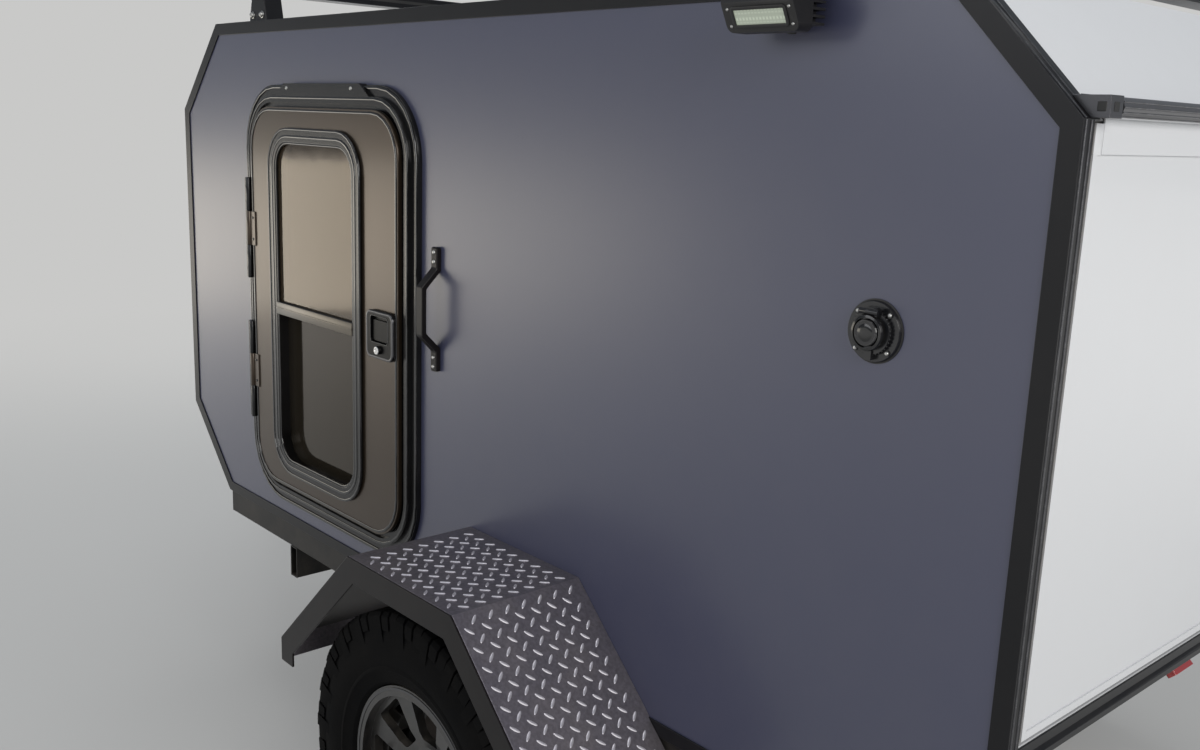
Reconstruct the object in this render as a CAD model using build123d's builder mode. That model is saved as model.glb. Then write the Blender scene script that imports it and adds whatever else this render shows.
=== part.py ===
from build123d import *
import os
from math import asin, cos, degrees, radians, sin, sqrt, tan

os.makedirs("parts", exist_ok=True)

# A squaredrop camping trailer on one axle, in millimetres.
# World frame: +X forward to the coupler, +Y to the left, +Z up, the ground at z = 0.
# Body sizes are local: lengths ahead of the body's rear face, heights above its underside.

# Body shell
body_length = 2488
body_height = 1219
body_width = 1524
front_cut = 210
rear_slope_height = 180
rear_foot_cut = 212
wall_thickness = 25
bulkhead_x = 560
bulkhead_thickness = 18
counter_height = 490
counter_thickness = 18
counter_lip_x = 60

# Running gear
tyre_radius = 345
tyre_width = 215
axle_x = 1002
axle_drop = 208
wheel_offset = 148.5

# Chassis
rail_height = 60
rail_width = 40
rail_inset = 2
rail_wall = 3
crossmember_height = 50
crossmember_width = 40
crossmember_from_axle = 382
crossmember_under_door = 1760

# Tongue
tongue_tube_height = 80
tongue_tube_width = 50
crosstube_behind_front = 558.5
crosstube_width = 33
tongue_start_y = 640
tongue_half_angle = 25
coupler_ahead = 30
ball_bore_radius = 25.6
ball_bore_depth = 30
coupler_cup_radius = 40
coupler_cup_height = 66
cup_gap = 10

# Rear overhang of the hatch's handles behind the rear face
handle_reach = 34

floor_end_x = body_length - front_cut
crosstube_x = body_length - crosstube_behind_front
crossmember_places = (
    rear_foot_cut + crossmember_width / 2,
    axle_x - crossmember_from_axle,
    axle_x + crossmember_from_axle,
    crossmember_under_door,
    floor_end_x - crossmember_width / 2,
)
body_bottom_z = tyre_radius + axle_drop
wall_face_y = body_width / 2
wall_inner_y = wall_face_y - wall_thickness
crosstube_front_x = crosstube_x + crosstube_width / 2
tongue_apex_x = crosstube_front_x + tongue_start_y / tan(radians(tongue_half_angle))
ball_x = tongue_apex_x + coupler_ahead
nose_x = ball_x + coupler_cup_radius
body_rear_x = -(nose_x - handle_reach) / 2


def side_plane(y):
    """Upright plane across the width at y: local x runs forward, local y runs up, it faces right."""
    return Plane(origin=(body_rear_x, y, body_bottom_z), x_dir=(1, 0, 0), z_dir=(0, -1, 0))


def deck_plane(z):
    """Level plane at height z: local x runs forward, local y runs to the left, it faces up."""
    return Plane(origin=(body_rear_x, 0, body_bottom_z + z), x_dir=(1, 0, 0), z_dir=(0, 0, 1))


def cross_plane(x):
    """Upright plane across the trailer at x: local x runs to the left, local y runs up, it faces ahead."""
    return Plane(origin=(body_rear_x + x, 0, body_bottom_z), x_dir=(0, 1, 0), z_dir=(1, 0, 0))


def inset(points, depth):
    """Corners of an anticlockwise outline moved inwards by depth, mitred."""
    moved = []
    for before, here, after in zip(points[-1:] + points[:-1], points, points[1:] + points[:1]):
        arriving = Vector(here[0] - before[0], here[1] - before[1]).normalized()
        leaving = Vector(after[0] - here[0], after[1] - here[1]).normalized()
        first_normal = Vector(-arriving.Y, arriving.X)
        second_normal = Vector(-leaving.Y, leaving.X)
        reach = depth / (1 + first_normal.dot(second_normal))
        moved.append((here[0] + reach * (first_normal.X + second_normal.X),
                      here[1] + reach * (first_normal.Y + second_normal.Y)))
    return moved


# The eight-sided side outline, from the rear end of the underside, forward, up and back.
shell_outer = [
    (rear_foot_cut, 0),
    (floor_end_x, 0),
    (body_length, front_cut),
    (body_length, body_height - front_cut),
    (body_length - front_cut, body_height),
    (rear_slope_height, body_height),
    (0, body_height - rear_slope_height),
    (0, rear_foot_cut),
]
shell_inner = inset(shell_outer, wall_thickness)


def shell_band(first, last):
    """Section of the shell's wall between two corners of the outline."""
    return shell_outer[first:last + 1] + shell_inner[first:last + 1][::-1]


# Entry doors, one each side, mirror images
door_width = 660
door_corner = 100
frame_border = 50
frame_foot_room = 60
frame_head_room = 145
door_front_room = 431
frame_flange = 10
frame_lip_gap = 10
frame_lip_width = 16
frame_lip_rise = 8
wall_cut_margin = 20
jamb_lap = 10
door_gap = 7
seal_gap = 5
door_skin = 10
door_core = 35

door_height = body_height - frame_foot_room - frame_head_room - 2 * frame_border
door_z = frame_foot_room + frame_border + door_height / 2
door_x = body_length - door_front_room - door_width / 2

# The side walls, with the door holes cut through.
wall_cut_width = door_width + 2 * wall_cut_margin
wall_cut_height = door_height + 2 * wall_cut_margin
wall_cut_corner = door_corner + wall_cut_margin
with BuildPart() as side_walls:
    with BuildSketch(side_plane(wall_face_y)):
        with BuildLine():
            Polyline(*shell_outer, close=True)
        make_face()
        with Locations((door_x, door_z)):
            RectangleRounded(wall_cut_width, wall_cut_height, wall_cut_corner, mode=Mode.SUBTRACT)
    extrude(amount=wall_thickness)
    mirror(about=Plane.XZ)
side_walls.part.label = "side_walls"
export_step(side_walls.part, "parts/side_walls.step")

# The floor between the side walls.
with BuildPart() as floor_panel:
    with BuildSketch(side_plane(wall_inner_y)):
        with BuildLine():
            Polyline(*shell_band(0, 1), close=True)
        make_face()
    extrude(amount=2 * wall_inner_y)
floor_panel.part.label = "floor_panel"
export_step(floor_panel.part, "parts/floor_panel.step")

# The front, one skin bent at two corners.
with BuildPart() as front_panel:
    with BuildSketch(side_plane(wall_inner_y)):
        with BuildLine():
            Polyline(*shell_band(1, 4), close=True)
        make_face()
    extrude(amount=2 * wall_inner_y)
front_panel.part.label = "front_panel"
export_step(front_panel.part, "parts/front_panel.step")

# Roof vent
vent_behind_front = 988
vent_hole = 356
vent_collar = 400
vent_collar_wall = 20
vent_collar_rise = 45
vent_flange = 450
vent_flange_thickness = 4
vent_lid_gap = 5
vent_lid_thickness = 4
vent_lid_skirt = 28
vent_hinge_gap = 9
vent_hinge_rise = 30
vent_knuckle_radius = 5
vent_pin_radius = 2.5
pin_fit = 0.05
vent_knuckle_y = 120
vent_knuckle_length = 60
vent_lug_length = 15
side_play = 1

vent_x = body_length - vent_behind_front
# The roof, with the vent's hole.
with BuildPart() as roof_panel:
    with BuildSketch(side_plane(wall_inner_y)):
        with BuildLine():
            Polyline(*shell_band(4, 5), close=True)
        make_face()
    extrude(amount=2 * wall_inner_y)
    with BuildSketch(deck_plane(body_height)):
        with Locations((vent_x, 0)):
            Rectangle(vent_hole, vent_hole)
    extrude(amount=-2 * wall_thickness, mode=Mode.SUBTRACT)
roof_panel.part.label = "roof_panel"
export_step(roof_panel.part, "parts/roof_panel.step")

# The fixed sloped panel above the hatch.
with BuildPart() as rear_slope_panel:
    with BuildSketch(side_plane(wall_inner_y)):
        with BuildLine():
            Polyline(*shell_band(5, 6), close=True)
        make_face()
    extrude(amount=2 * wall_inner_y)
rear_slope_panel.part.label = "rear_slope_panel"
export_step(rear_slope_panel.part, "parts/rear_slope_panel.step")

# The foot of the rear: the sloped panel under the hatch and the upright sill above it.
hatch_sill_height = 35
sill_top = rear_foot_cut + hatch_sill_height
with BuildPart() as rear_foot_panel:
    with BuildSketch(side_plane(wall_inner_y)):
        with BuildLine():
            Polyline(
                shell_outer[7],
                shell_outer[0],
                shell_inner[0],
                shell_inner[7],
                (wall_thickness, sill_top),
                (0, sill_top),
                close=True,
            )
        make_face()
    extrude(amount=2 * wall_inner_y)
rear_foot_panel.part.label = "rear_foot_panel"
export_step(rear_foot_panel.part, "parts/rear_foot_panel.step")

# The dark trim along the sill's face, with a ledge half way down that sheds the rain.
sill_trim_drop = 2
sill_trim_thickness = 3
sill_ledge_height = 12
sill_ledge_reach = 7
with BuildPart() as sill_trim:
    with BuildSketch(side_plane(wall_inner_y)):
        with BuildLine():
            Polyline(
                (0, rear_foot_cut),
                (0, sill_top - sill_trim_drop),
                (-sill_trim_thickness, sill_top - sill_trim_drop),
                (-sill_trim_thickness, rear_foot_cut + sill_ledge_height + sill_ledge_reach),
                (-sill_ledge_reach, rear_foot_cut + sill_ledge_height),
                (-sill_ledge_reach, rear_foot_cut + sill_trim_thickness),
                (-sill_trim_thickness, rear_foot_cut),
                close=True,
            )
        make_face()
    extrude(amount=2 * wall_inner_y)
sill_trim.part.label = "sill_trim"
export_step(sill_trim.part, "parts/sill_trim.step")

# The bulkhead between the sleeping cabin and the galley, and the galley's counter.
with BuildPart() as bulkhead:
    with BuildSketch(deck_plane(wall_thickness)):
        with Locations((bulkhead_x, 0)):
            Rectangle(bulkhead_thickness, 2 * wall_inner_y)
    extrude(amount=body_height - 2 * wall_thickness)
bulkhead.part.label = "bulkhead"
export_step(bulkhead.part, "parts/bulkhead.step")

counter_end_x = bulkhead_x - bulkhead_thickness / 2
with BuildPart() as counter:
    with BuildSketch(deck_plane(counter_height)):
        with Locations(((counter_lip_x + counter_end_x) / 2, 0)):
            Rectangle(counter_end_x - counter_lip_x, 2 * wall_inner_y)
    extrude(amount=counter_thickness)
counter.part.label = "counter"
export_step(counter.part, "parts/counter.step")

# Edge trims: an angle over every edge of each side wall, open along the underside.
trim_thickness = 3
trim_leg = 25
trim_wrap = 37
trim_outer = inset(shell_outer, -trim_thickness)
trim_inner = inset(shell_outer, trim_leg)
with BuildPart() as edge_trims:
    with BuildSketch(side_plane(wall_face_y)):
        with BuildLine():
            Polyline(*trim_outer, close=True)
        make_face()
        with BuildLine():
            Polyline(*trim_inner, close=True)
        make_face(mode=Mode.SUBTRACT)
    extrude(amount=-trim_thickness)
    with BuildSketch(side_plane(wall_face_y)):
        with BuildLine():
            Polyline(*trim_outer, close=True)
        make_face()
        with BuildLine():
            Polyline(*shell_outer, close=True)
        make_face(mode=Mode.SUBTRACT)
    extrude(amount=trim_wrap)
    # The underside stays bare, where the rails lie against it.
    with BuildSketch(deck_plane(0)):
        with Locations((body_length / 2, wall_face_y)):
            Rectangle(2 * body_length, body_width)
    extrude(amount=-2 * trim_thickness, mode=Mode.SUBTRACT)
    # Beside the hatch the wrapped leg is only as wide as the wall.
    with BuildSketch(cross_plane(-2 * trim_thickness)):
        with Locations((wall_inner_y - trim_wrap / 2, (rear_foot_cut + body_height - rear_slope_height) / 2)):
            Rectangle(trim_wrap, body_height - rear_slope_height - rear_foot_cut)
    extrude(amount=3 * trim_thickness, mode=Mode.SUBTRACT)
    mirror(about=Plane.XZ)
edge_trims.part.label = "edge_trims"
export_step(edge_trims.part, "parts/edge_trims.step")

# Hatch and its full-width hinge: a bead on the fixed leaf, held in a hooked sleeve on the hatch.
hinge_bead_radius = 8
hinge_sleeve_radius = 13
hinge_out = 10
hinge_rise = 15
hinge_web = 4
hinge_leaf_thickness = 3
hinge_fixed_leaf = 40
hinge_leaf_start = 8
hinge_leaf_relief = 1
hinge_moving_leaf = 48
hinge_end_room = 17
hinge_end_play = 8
hinge_block_lap = 3
hinge_block_width = 28
hinge_block_height = 26
hook_start_angle = -22
hook_end_angle = 117
hatch_gap = 6
hatch_bottom_gap = 7
hatch_top_gap = 17
hatch_trim_width = 11
hatch_trim_thickness = 2.5

hinge_half_length = wall_inner_y - hinge_end_room
slope_foot_z = body_height - rear_slope_height
hinge_x = -hinge_out
hinge_z = slope_foot_z + hinge_rise
along = sqrt(0.5)
with BuildPart() as hinge_fixed:
    with BuildSketch(side_plane(hinge_half_length)):
        leaf_foot = hinge_leaf_start * along
        leaf_reach = hinge_fixed_leaf * along
        leaf_lift = hinge_leaf_thickness * along
        with BuildLine():
            Polyline(
                (leaf_foot, slope_foot_z + leaf_foot),
                (leaf_reach, slope_foot_z + leaf_reach),
                (leaf_reach - leaf_lift, slope_foot_z + leaf_reach + leaf_lift),
                (leaf_foot - leaf_lift, slope_foot_z + leaf_foot + leaf_lift),
                close=True,
            )
        make_face()
        with BuildLine():
            Polyline(
                (hinge_x, hinge_z - hinge_web / 2),
                (hinge_rise - hinge_web / 2, hinge_z - hinge_web / 2),
                (hinge_rise + hinge_web / 2, hinge_z + hinge_web / 2),
                (hinge_x, hinge_z + hinge_web / 2),
                close=True,
            )
        make_face()
        with Locations((hinge_x, hinge_z)):
            Circle(hinge_bead_radius)
    extrude(amount=2 * hinge_half_length)
    # End blocks that close the sleeve, seated on the sloped leg of the edge trim.
    block_low = hinge_z - hinge_block_height / 2
    block_high = hinge_z + hinge_block_height / 2
    block_back = hinge_x - hinge_sleeve_radius - 1
    trim_line = slope_foot_z + trim_thickness / along
    for block_y in (hinge_half_length + hinge_block_width, hinge_block_lap - hinge_half_length):
        with BuildSketch(side_plane(block_y)):
            with BuildLine():
                Polyline(
                    (block_back, block_low),
                    (block_low - trim_line, block_low),
                    (block_high - trim_line, block_high),
                    (block_back, block_high),
                    close=True,
                )
            make_face()
        extrude(amount=hinge_block_width + hinge_block_lap)
hinge_fixed.part.label = "hinge_fixed"
export_step(hinge_fixed.part, "parts/hinge_fixed.step")

hatch_low = sill_top + hatch_bottom_gap
hatch_high = slope_foot_z - hatch_top_gap
leaf_high = hinge_z - hinge_web / 2 - 4
leaf_low = leaf_high - hinge_moving_leaf
sleeve_half_length = hinge_half_length - hinge_end_play
with BuildPart() as hatch_hinge:
    with BuildSketch(side_plane(sleeve_half_length)):
        with Locations((hinge_x, hinge_z)):
            Circle(hinge_sleeve_radius)
            Circle(hinge_bead_radius + pin_fit, mode=Mode.SUBTRACT)
        wedge = 3 * hinge_sleeve_radius
        middle_angle = (hook_start_angle + hook_end_angle) / 2
        with BuildLine():
            Polyline(
                (hinge_x, hinge_z),
                (hinge_x + wedge * cos(radians(hook_start_angle)), hinge_z + wedge * sin(radians(hook_start_angle))),
                (hinge_x + 2 * wedge * cos(radians(middle_angle)), hinge_z + 2 * wedge * sin(radians(middle_angle))),
                (hinge_x + wedge * cos(radians(hook_end_angle)), hinge_z + wedge * sin(radians(hook_end_angle))),
                close=True,
            )
        make_face(mode=Mode.SUBTRACT)
        # The leaf down the hatch's face, relieved on the inside above the panel's top edge.
        with BuildLine():
            Polyline(
                (-hinge_leaf_thickness, leaf_low),
                (0, leaf_low),
                (0, hatch_high),
                (-hinge_leaf_relief, hatch_high),
                (-hinge_leaf_relief, leaf_high),
                (-hinge_leaf_thickness, leaf_high),
                close=True,
            )
        make_face()
    extrude(amount=2 * sleeve_half_length)
hatch_hinge.part.label = "hatch_hinge"
export_step(hatch_hinge.part, "parts/hatch_hinge.step")

# The upright hatch panel, as thick as the walls.
hatch_half_width = wall_inner_y - hatch_gap
hatch_middle_z = (hatch_low + hatch_high) / 2
with BuildPart() as hatch_panel:
    with BuildSketch(cross_plane(0)):
        with Locations((0, hatch_middle_z)):
            Rectangle(2 * hatch_half_width, hatch_high - hatch_low)
    extrude(amount=wall_thickness)
hatch_panel.part.label = "hatch_panel"
export_step(hatch_panel.part, "parts/hatch_panel.step")

# The dark trim round the hatch's sides and bottom, up to the hinge's leaf.
with BuildPart() as hatch_trim:
    with BuildSketch(cross_plane(0)):
        with Locations((0, (hatch_low + leaf_low) / 2)):
            Rectangle(2 * hatch_half_width, leaf_low - hatch_low)
        with Locations((0, (hatch_low + leaf_low) / 2 + hatch_trim_width / 2)):
            Rectangle(2 * (hatch_half_width - hatch_trim_width), leaf_low - hatch_low - hatch_trim_width, mode=Mode.SUBTRACT)
    extrude(amount=-hatch_trim_thickness)
hatch_trim.part.label = "hatch_trim"
export_step(hatch_trim.part, "parts/hatch_trim.step")

# One folding T-handle low on the hatch's middle, with its plate and stem.
hatch_handle_z = 330
handle_plate_width = 90
handle_plate_height = 60
handle_plate_thickness = 6
handle_bar_length = 70
handle_bar_radius = 6
handle_stem_radius = 8
with BuildPart() as hatch_handles:
    with BuildSketch(cross_plane(0)):
        with Locations((0, hatch_handle_z)):
            RectangleRounded(handle_plate_width, handle_plate_height, handle_plate_height / 4)
    extrude(amount=-handle_plate_thickness)
    with BuildSketch(cross_plane(-handle_plate_thickness)):
        with Locations((0, hatch_handle_z)):
            Circle(handle_stem_radius)
    extrude(amount=-(handle_reach - handle_plate_thickness - handle_bar_radius))
    with BuildSketch(side_plane(handle_bar_length / 2)):
        with Locations((-handle_reach + handle_bar_radius, hatch_handle_z)):
            Circle(handle_bar_radius)
    extrude(amount=handle_bar_length)
hatch_handles.part.label = "hatch_handles"
export_step(hatch_handles.part, "parts/hatch_handles.step")

# Door frames: a jamb through the wall, a flange on its face and a raised lip round the door.
jamb_clearance = 0.5
jamb_width = door_width - 2 * jamb_lap
jamb_height = door_height - 2 * jamb_lap
jamb_corner = door_corner - jamb_lap
frame_width = door_width + 2 * frame_border
frame_height = door_height + 2 * frame_border
frame_corner = door_corner + frame_border
lip_in = frame_lip_gap
lip_out = frame_lip_gap + frame_lip_width
drip_cap_width = 415
drip_cap_height = 27
drip_cap_reach = 18
drip_cap_slope = 34
drip_cap_rise = 3

# Door hinges: two knuckle hinges on the front edge of each door
door_hinge_out = 28
door_hinge_ahead = 10
door_hinge_below = 189
door_hinge_above = 165
door_hinge_length = 244
door_knuckle_radius = 6
door_pin_radius = 3
door_middle_knuckle = 82
hinge_block_ahead = 19
hinge_block_gap = 7
door_leaf_length = 30
door_leaf_thickness = 6

flange_face_y = wall_face_y + frame_flange
lip_face_y = flange_face_y + frame_lip_rise
door_back_y = flange_face_y + seal_gap
door_face_y = door_back_y + door_skin
door_hinge_places = (door_z - door_hinge_below, door_z + door_hinge_above)
door_hinge_x = door_x + door_width / 2 + door_hinge_ahead
door_hinge_y = wall_face_y + door_hinge_out

with BuildPart() as door_frames:
    with BuildSketch(side_plane(wall_face_y)):
        with Locations((door_x, door_z)):
            RectangleRounded(
                wall_cut_width - 2 * jamb_clearance,
                wall_cut_height - 2 * jamb_clearance,
                wall_cut_corner - jamb_clearance,
            )
            RectangleRounded(jamb_width, jamb_height, jamb_corner, mode=Mode.SUBTRACT)
    extrude(amount=wall_thickness)
    with BuildSketch(side_plane(wall_face_y)):
        with Locations((door_x, door_z)):
            RectangleRounded(frame_width, frame_height, frame_corner)
            RectangleRounded(jamb_width, jamb_height, jamb_corner, mode=Mode.SUBTRACT)
    extrude(amount=-frame_flange)
    with BuildSketch(side_plane(flange_face_y)):
        with Locations((door_x, door_z)):
            RectangleRounded(door_width + 2 * lip_out, door_height + 2 * lip_out, door_corner + lip_out)
            RectangleRounded(
                door_width + 2 * lip_in, door_height + 2 * lip_in, door_corner + lip_in, mode=Mode.SUBTRACT
            )
    extrude(amount=-frame_lip_rise)
    # The drip cap over the door.
    with BuildSketch(side_plane(wall_face_y)):
        with Locations((door_x, door_z + frame_height / 2 + drip_cap_rise - drip_cap_height / 2)):
            Trapezoid(drip_cap_width, drip_cap_height, drip_cap_slope)
    extrude(amount=-drip_cap_reach)
    # The fixed half of each hinge: a long block, two knuckles and the pin through them.
    for hinge_place in door_hinge_places:
        block_start_x = door_hinge_x + hinge_block_gap
        block_end_x = door_hinge_x + hinge_block_ahead
        with BuildSketch(deck_plane(hinge_place - door_hinge_length / 2)):
            with Locations(((block_start_x + block_end_x) / 2, (flange_face_y + door_hinge_y) / 2)):
                Rectangle(hinge_block_ahead - hinge_block_gap, door_hinge_y - flange_face_y)
        extrude(amount=door_hinge_length)
        fixed_knuckle = (door_hinge_length - door_middle_knuckle) / 2 - side_play
        for knuckle_low in (
            hinge_place - door_hinge_length / 2,
            hinge_place + door_hinge_length / 2 - fixed_knuckle,
        ):
            with BuildSketch(deck_plane(knuckle_low)):
                with Locations((door_hinge_x, door_hinge_y)):
                    Circle(door_knuckle_radius)
                with Locations(((door_hinge_x + block_start_x) / 2, (lip_face_y + door_hinge_y) / 2)):
                    Rectangle(hinge_block_gap, door_hinge_y - lip_face_y)
            extrude(amount=fixed_knuckle)
        with BuildSketch(deck_plane(hinge_place - door_hinge_length / 2)):
            with Locations((door_hinge_x, door_hinge_y)):
                Circle(door_pin_radius)
        extrude(amount=door_hinge_length)
    mirror(about=Plane.XZ)
door_frames.part.label = "door_frames"
export_step(door_frames.part, "parts/door_frames.step")

# Door windows, latches and the moving hinge halves
window_ahead = 20
window_drop = 3
window_width = 416
window_end_room = 43.5
window_corner = 92
window_rim = 33
window_rim_thickness = 6
window_cut_margin = 18
sash_wall = 6
sash_depth = 34
glass_gap = 0.3
pane_thickness = 5
upper_pane_depth = 3
lower_pane_depth = 26
rail_drop = 12
rail_bar_height = 31
rail_bar_depth = 22
latch_behind = 272
latch_drop = 6
latch_width = 100
latch_height = 97
latch_thickness = 10
latch_corner = 14
latch_recess_width = 68
latch_recess_height = 56
latch_recess_depth = 8
latch_recess_rise = 12
paddle_thickness = 4
paddle_gap = 3
key_radius = 9
key_reach = 6
key_drop = 31

window_x = door_x + window_ahead
window_z = door_z - window_drop
window_height = door_height - 2 * window_end_room
rail_z = door_z - rail_drop
latch_x = door_x - latch_behind
latch_z = door_z - latch_drop
window_cut_width = window_width - 2 * window_cut_margin
window_cut_height = window_height - 2 * window_cut_margin
window_cut_corner = window_corner - window_cut_margin
sight_width = window_width - 2 * window_rim
sight_height = window_height - 2 * window_rim
sight_corner = window_corner - window_rim
sash_inset = window_cut_margin + glass_gap + sash_wall

with BuildPart() as door_left:
    with BuildSketch(side_plane(door_back_y)):
        with Locations((door_x, door_z)):
            RectangleRounded(door_width, door_height, door_corner)
        with Locations((window_x, window_z)):
            RectangleRounded(window_cut_width, window_cut_height, window_cut_corner, mode=Mode.SUBTRACT)
    extrude(amount=-door_skin)
    with BuildSketch(side_plane(door_back_y)):
        with Locations((door_x, door_z)):
            RectangleRounded(
                jamb_width - 2 * door_gap, jamb_height - 2 * door_gap, jamb_corner - door_gap
            )
        with Locations((window_x, window_z)):
            RectangleRounded(window_cut_width, window_cut_height, window_cut_corner, mode=Mode.SUBTRACT)
    extrude(amount=door_core)
    # The moving half of each hinge: a leaf let into the door's face and the middle knuckle.
    for hinge_place in door_hinge_places:
        with BuildSketch(deck_plane(hinge_place - door_middle_knuckle / 2)):
            with Locations((door_hinge_x, door_hinge_y)):
                Circle(door_knuckle_radius)
            with Locations((door_hinge_x - door_leaf_length / 2, door_hinge_y - door_leaf_thickness / 2)):
                Rectangle(door_leaf_length, door_leaf_thickness)
            with Locations((door_hinge_x, door_hinge_y)):
                Circle(door_pin_radius + pin_fit, mode=Mode.SUBTRACT)
        extrude(amount=door_middle_knuckle)

with BuildPart() as door_window_left:
    with BuildSketch(side_plane(door_face_y)):
        with Locations((window_x, window_z)):
            RectangleRounded(window_width, window_height, window_corner)
            RectangleRounded(sight_width, sight_height, sight_corner, mode=Mode.SUBTRACT)
        with Locations((window_x, rail_z)):
            Rectangle(sight_width, rail_bar_height)
    extrude(amount=-window_rim_thickness)
    with BuildSketch(side_plane(door_face_y)):
        with Locations((window_x, window_z)):
            RectangleRounded(
                window_cut_width - 2 * glass_gap,
                window_cut_height - 2 * glass_gap,
                window_cut_corner - glass_gap,
            )
            RectangleRounded(
                window_width - 2 * sash_inset,
                window_height - 2 * sash_inset,
                window_corner - sash_inset,
                mode=Mode.SUBTRACT,
            )
        with Locations((window_x, rail_z)):
            Rectangle(window_width - 2 * sash_inset, rail_bar_height)
    extrude(amount=sash_depth)

pane_width = window_width - 2 * sash_inset - 2 * glass_gap
window_low = window_z - window_height / 2
window_high = window_z + window_height / 2
pane_corner = window_corner - sash_inset - glass_gap
with BuildPart() as door_glass_left:
    # Upper pane, then the lower pane further in; only the window's own corners are round.
    for low, high, set_back, round_end in (
        (rail_z + rail_bar_height / 2 + glass_gap, window_high - sash_inset - glass_gap, upper_pane_depth, -1),
        (window_low + sash_inset + glass_gap, rail_z - rail_bar_height / 2 - glass_gap, lower_pane_depth, 0),
    ):
        with BuildSketch(side_plane(door_face_y - set_back)) as pane:
            with Locations((window_x, (low + high) / 2)):
                Rectangle(pane_width, high - low)
            fillet(pane.vertices().group_by(Axis.Y)[round_end], pane_corner)
        extrude(amount=pane_thickness)

with BuildPart() as door_latch_left:
    with BuildSketch(side_plane(door_face_y)):
        with Locations((latch_x, latch_z)):
            RectangleRounded(latch_width, latch_height, latch_corner)
    extrude(amount=-latch_thickness)
    with BuildSketch(side_plane(door_face_y + latch_thickness)):
        with Locations((latch_x, latch_z + latch_recess_rise)):
            RectangleRounded(latch_recess_width, latch_recess_height, latch_corner / 2)
    extrude(amount=latch_recess_depth, mode=Mode.SUBTRACT)
    with BuildSketch(side_plane(door_face_y + latch_thickness - latch_recess_depth)):
        with Locations((latch_x, latch_z + latch_recess_rise - paddle_gap)):
            RectangleRounded(
                latch_recess_width - 2 * paddle_gap,
                latch_recess_height - 4 * paddle_gap,
                latch_corner / 2 - 1,
            )
    extrude(amount=-paddle_thickness)
    with BuildSketch(side_plane(door_face_y + latch_thickness)):
        with Locations((latch_x, latch_z - key_drop)):
            Circle(key_radius)
    extrude(amount=-key_reach)

for stem, left_piece in (
    ("door", door_left),
    ("door_window", door_window_left),
    ("door_glass", door_glass_left),
    ("door_latch", door_latch_left),
):
    left_piece.part.label = stem + "_left"
    export_step(left_piece.part, "parts/" + stem + "_left.step")
    with BuildPart() as right_piece:
        mirror(left_piece.part, about=Plane.XZ)
    right_piece.part.label = stem + "_right"
    export_step(right_piece.part, "parts/" + stem + "_right.step")

# Fenders: a thin sheet over each wheel, a flange against the wall and a skirt band outside
fender_rear_x = 565
fender_rise_x = 835
fender_fall_x = 1168
fender_front_x = 1440
fender_top_z = 215
fender_slope_foot_z = -45
fender_end_z = -95
fender_reach = 275
fender_sheet = 3
fender_flange_depth = 25
skirt_depth = 48
skirt_thickness = 4

fender_outline = [
    (fender_rear_x, fender_end_z),
    (fender_front_x, fender_end_z),
    (fender_front_x, fender_slope_foot_z),
    (fender_fall_x, fender_top_z),
    (fender_rise_x, fender_top_z),
    (fender_rear_x, fender_slope_foot_z),
]


def fender_band(depth):
    """Band of that depth inside the fender's outline, open at its foot."""
    deeper = inset(fender_outline, depth)
    low_front = (deeper[1][0], fender_end_z)
    low_rear = (deeper[0][0], fender_end_z)
    return fender_outline[1:] + fender_outline[:1] + [low_rear] + deeper[:1:-1] + [low_front]


fender_inner_y = wall_face_y + trim_thickness
fender_outer_y = wall_face_y + fender_reach
with BuildPart() as fenders:
    with BuildSketch(side_plane(fender_inner_y)):
        with BuildLine():
            Polyline(*fender_band(fender_flange_depth), close=True)
        make_face()
    extrude(amount=trim_thickness)
    with BuildSketch(cross_plane(fender_rear_x)):
        with Locations((wall_face_y + trim_thickness / 2, fender_end_z / 2 + trim_leg / 2)):
            Rectangle(2 * trim_thickness, trim_leg - fender_end_z + 1)
    extrude(amount=fender_front_x - fender_rear_x, mode=Mode.SUBTRACT)
    with BuildSketch(side_plane(fender_outer_y)):
        with BuildLine():
            Polyline(*fender_band(fender_sheet), close=True)
        make_face()
    extrude(amount=fender_outer_y - fender_inner_y)
    mirror(about=Plane.XZ)
fenders.part.label = "fenders"
export_step(fenders.part, "parts/fenders.step")

with BuildPart() as fender_skirts:
    with BuildSketch(side_plane(fender_outer_y + skirt_thickness)):
        with BuildLine():
            Polyline(*fender_band(skirt_depth), close=True)
        make_face()
    extrude(amount=skirt_thickness)
    mirror(about=Plane.XZ)
fender_skirts.part.label = "fender_skirts"
export_step(fender_skirts.part, "parts/fender_skirts.step")

# Chassis: two side rails flush with the walls and cross members between them.
rail_outer_y = wall_face_y - rail_inset
rail_centre_y = rail_outer_y - rail_width / 2
with BuildPart() as side_rails:
    with BuildSketch(cross_plane(rear_foot_cut)):
        with Locations((rail_centre_y, -rail_height / 2)):
            Rectangle(rail_width, rail_height)
            Rectangle(rail_width - 2 * rail_wall, rail_height - 2 * rail_wall, mode=Mode.SUBTRACT)
    extrude(amount=floor_end_x - rear_foot_cut)
    mirror(about=Plane.XZ)
side_rails.part.label = "side_rails"
export_step(side_rails.part, "parts/side_rails.step")

rail_inner_y = rail_outer_y - rail_width
with BuildPart() as crossmembers:
    with BuildSketch(side_plane(rail_inner_y)):
        with Locations(*[(place, -crossmember_height / 2) for place in crossmember_places]):
            Rectangle(crossmember_width, crossmember_height)
            Rectangle(crossmember_width - 2 * rail_wall, crossmember_height - 2 * rail_wall, mode=Mode.SUBTRACT)
    extrude(amount=2 * rail_inner_y)
crossmembers.part.label = "crossmembers"
export_step(crossmembers.part, "parts/crossmembers.step")

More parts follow.
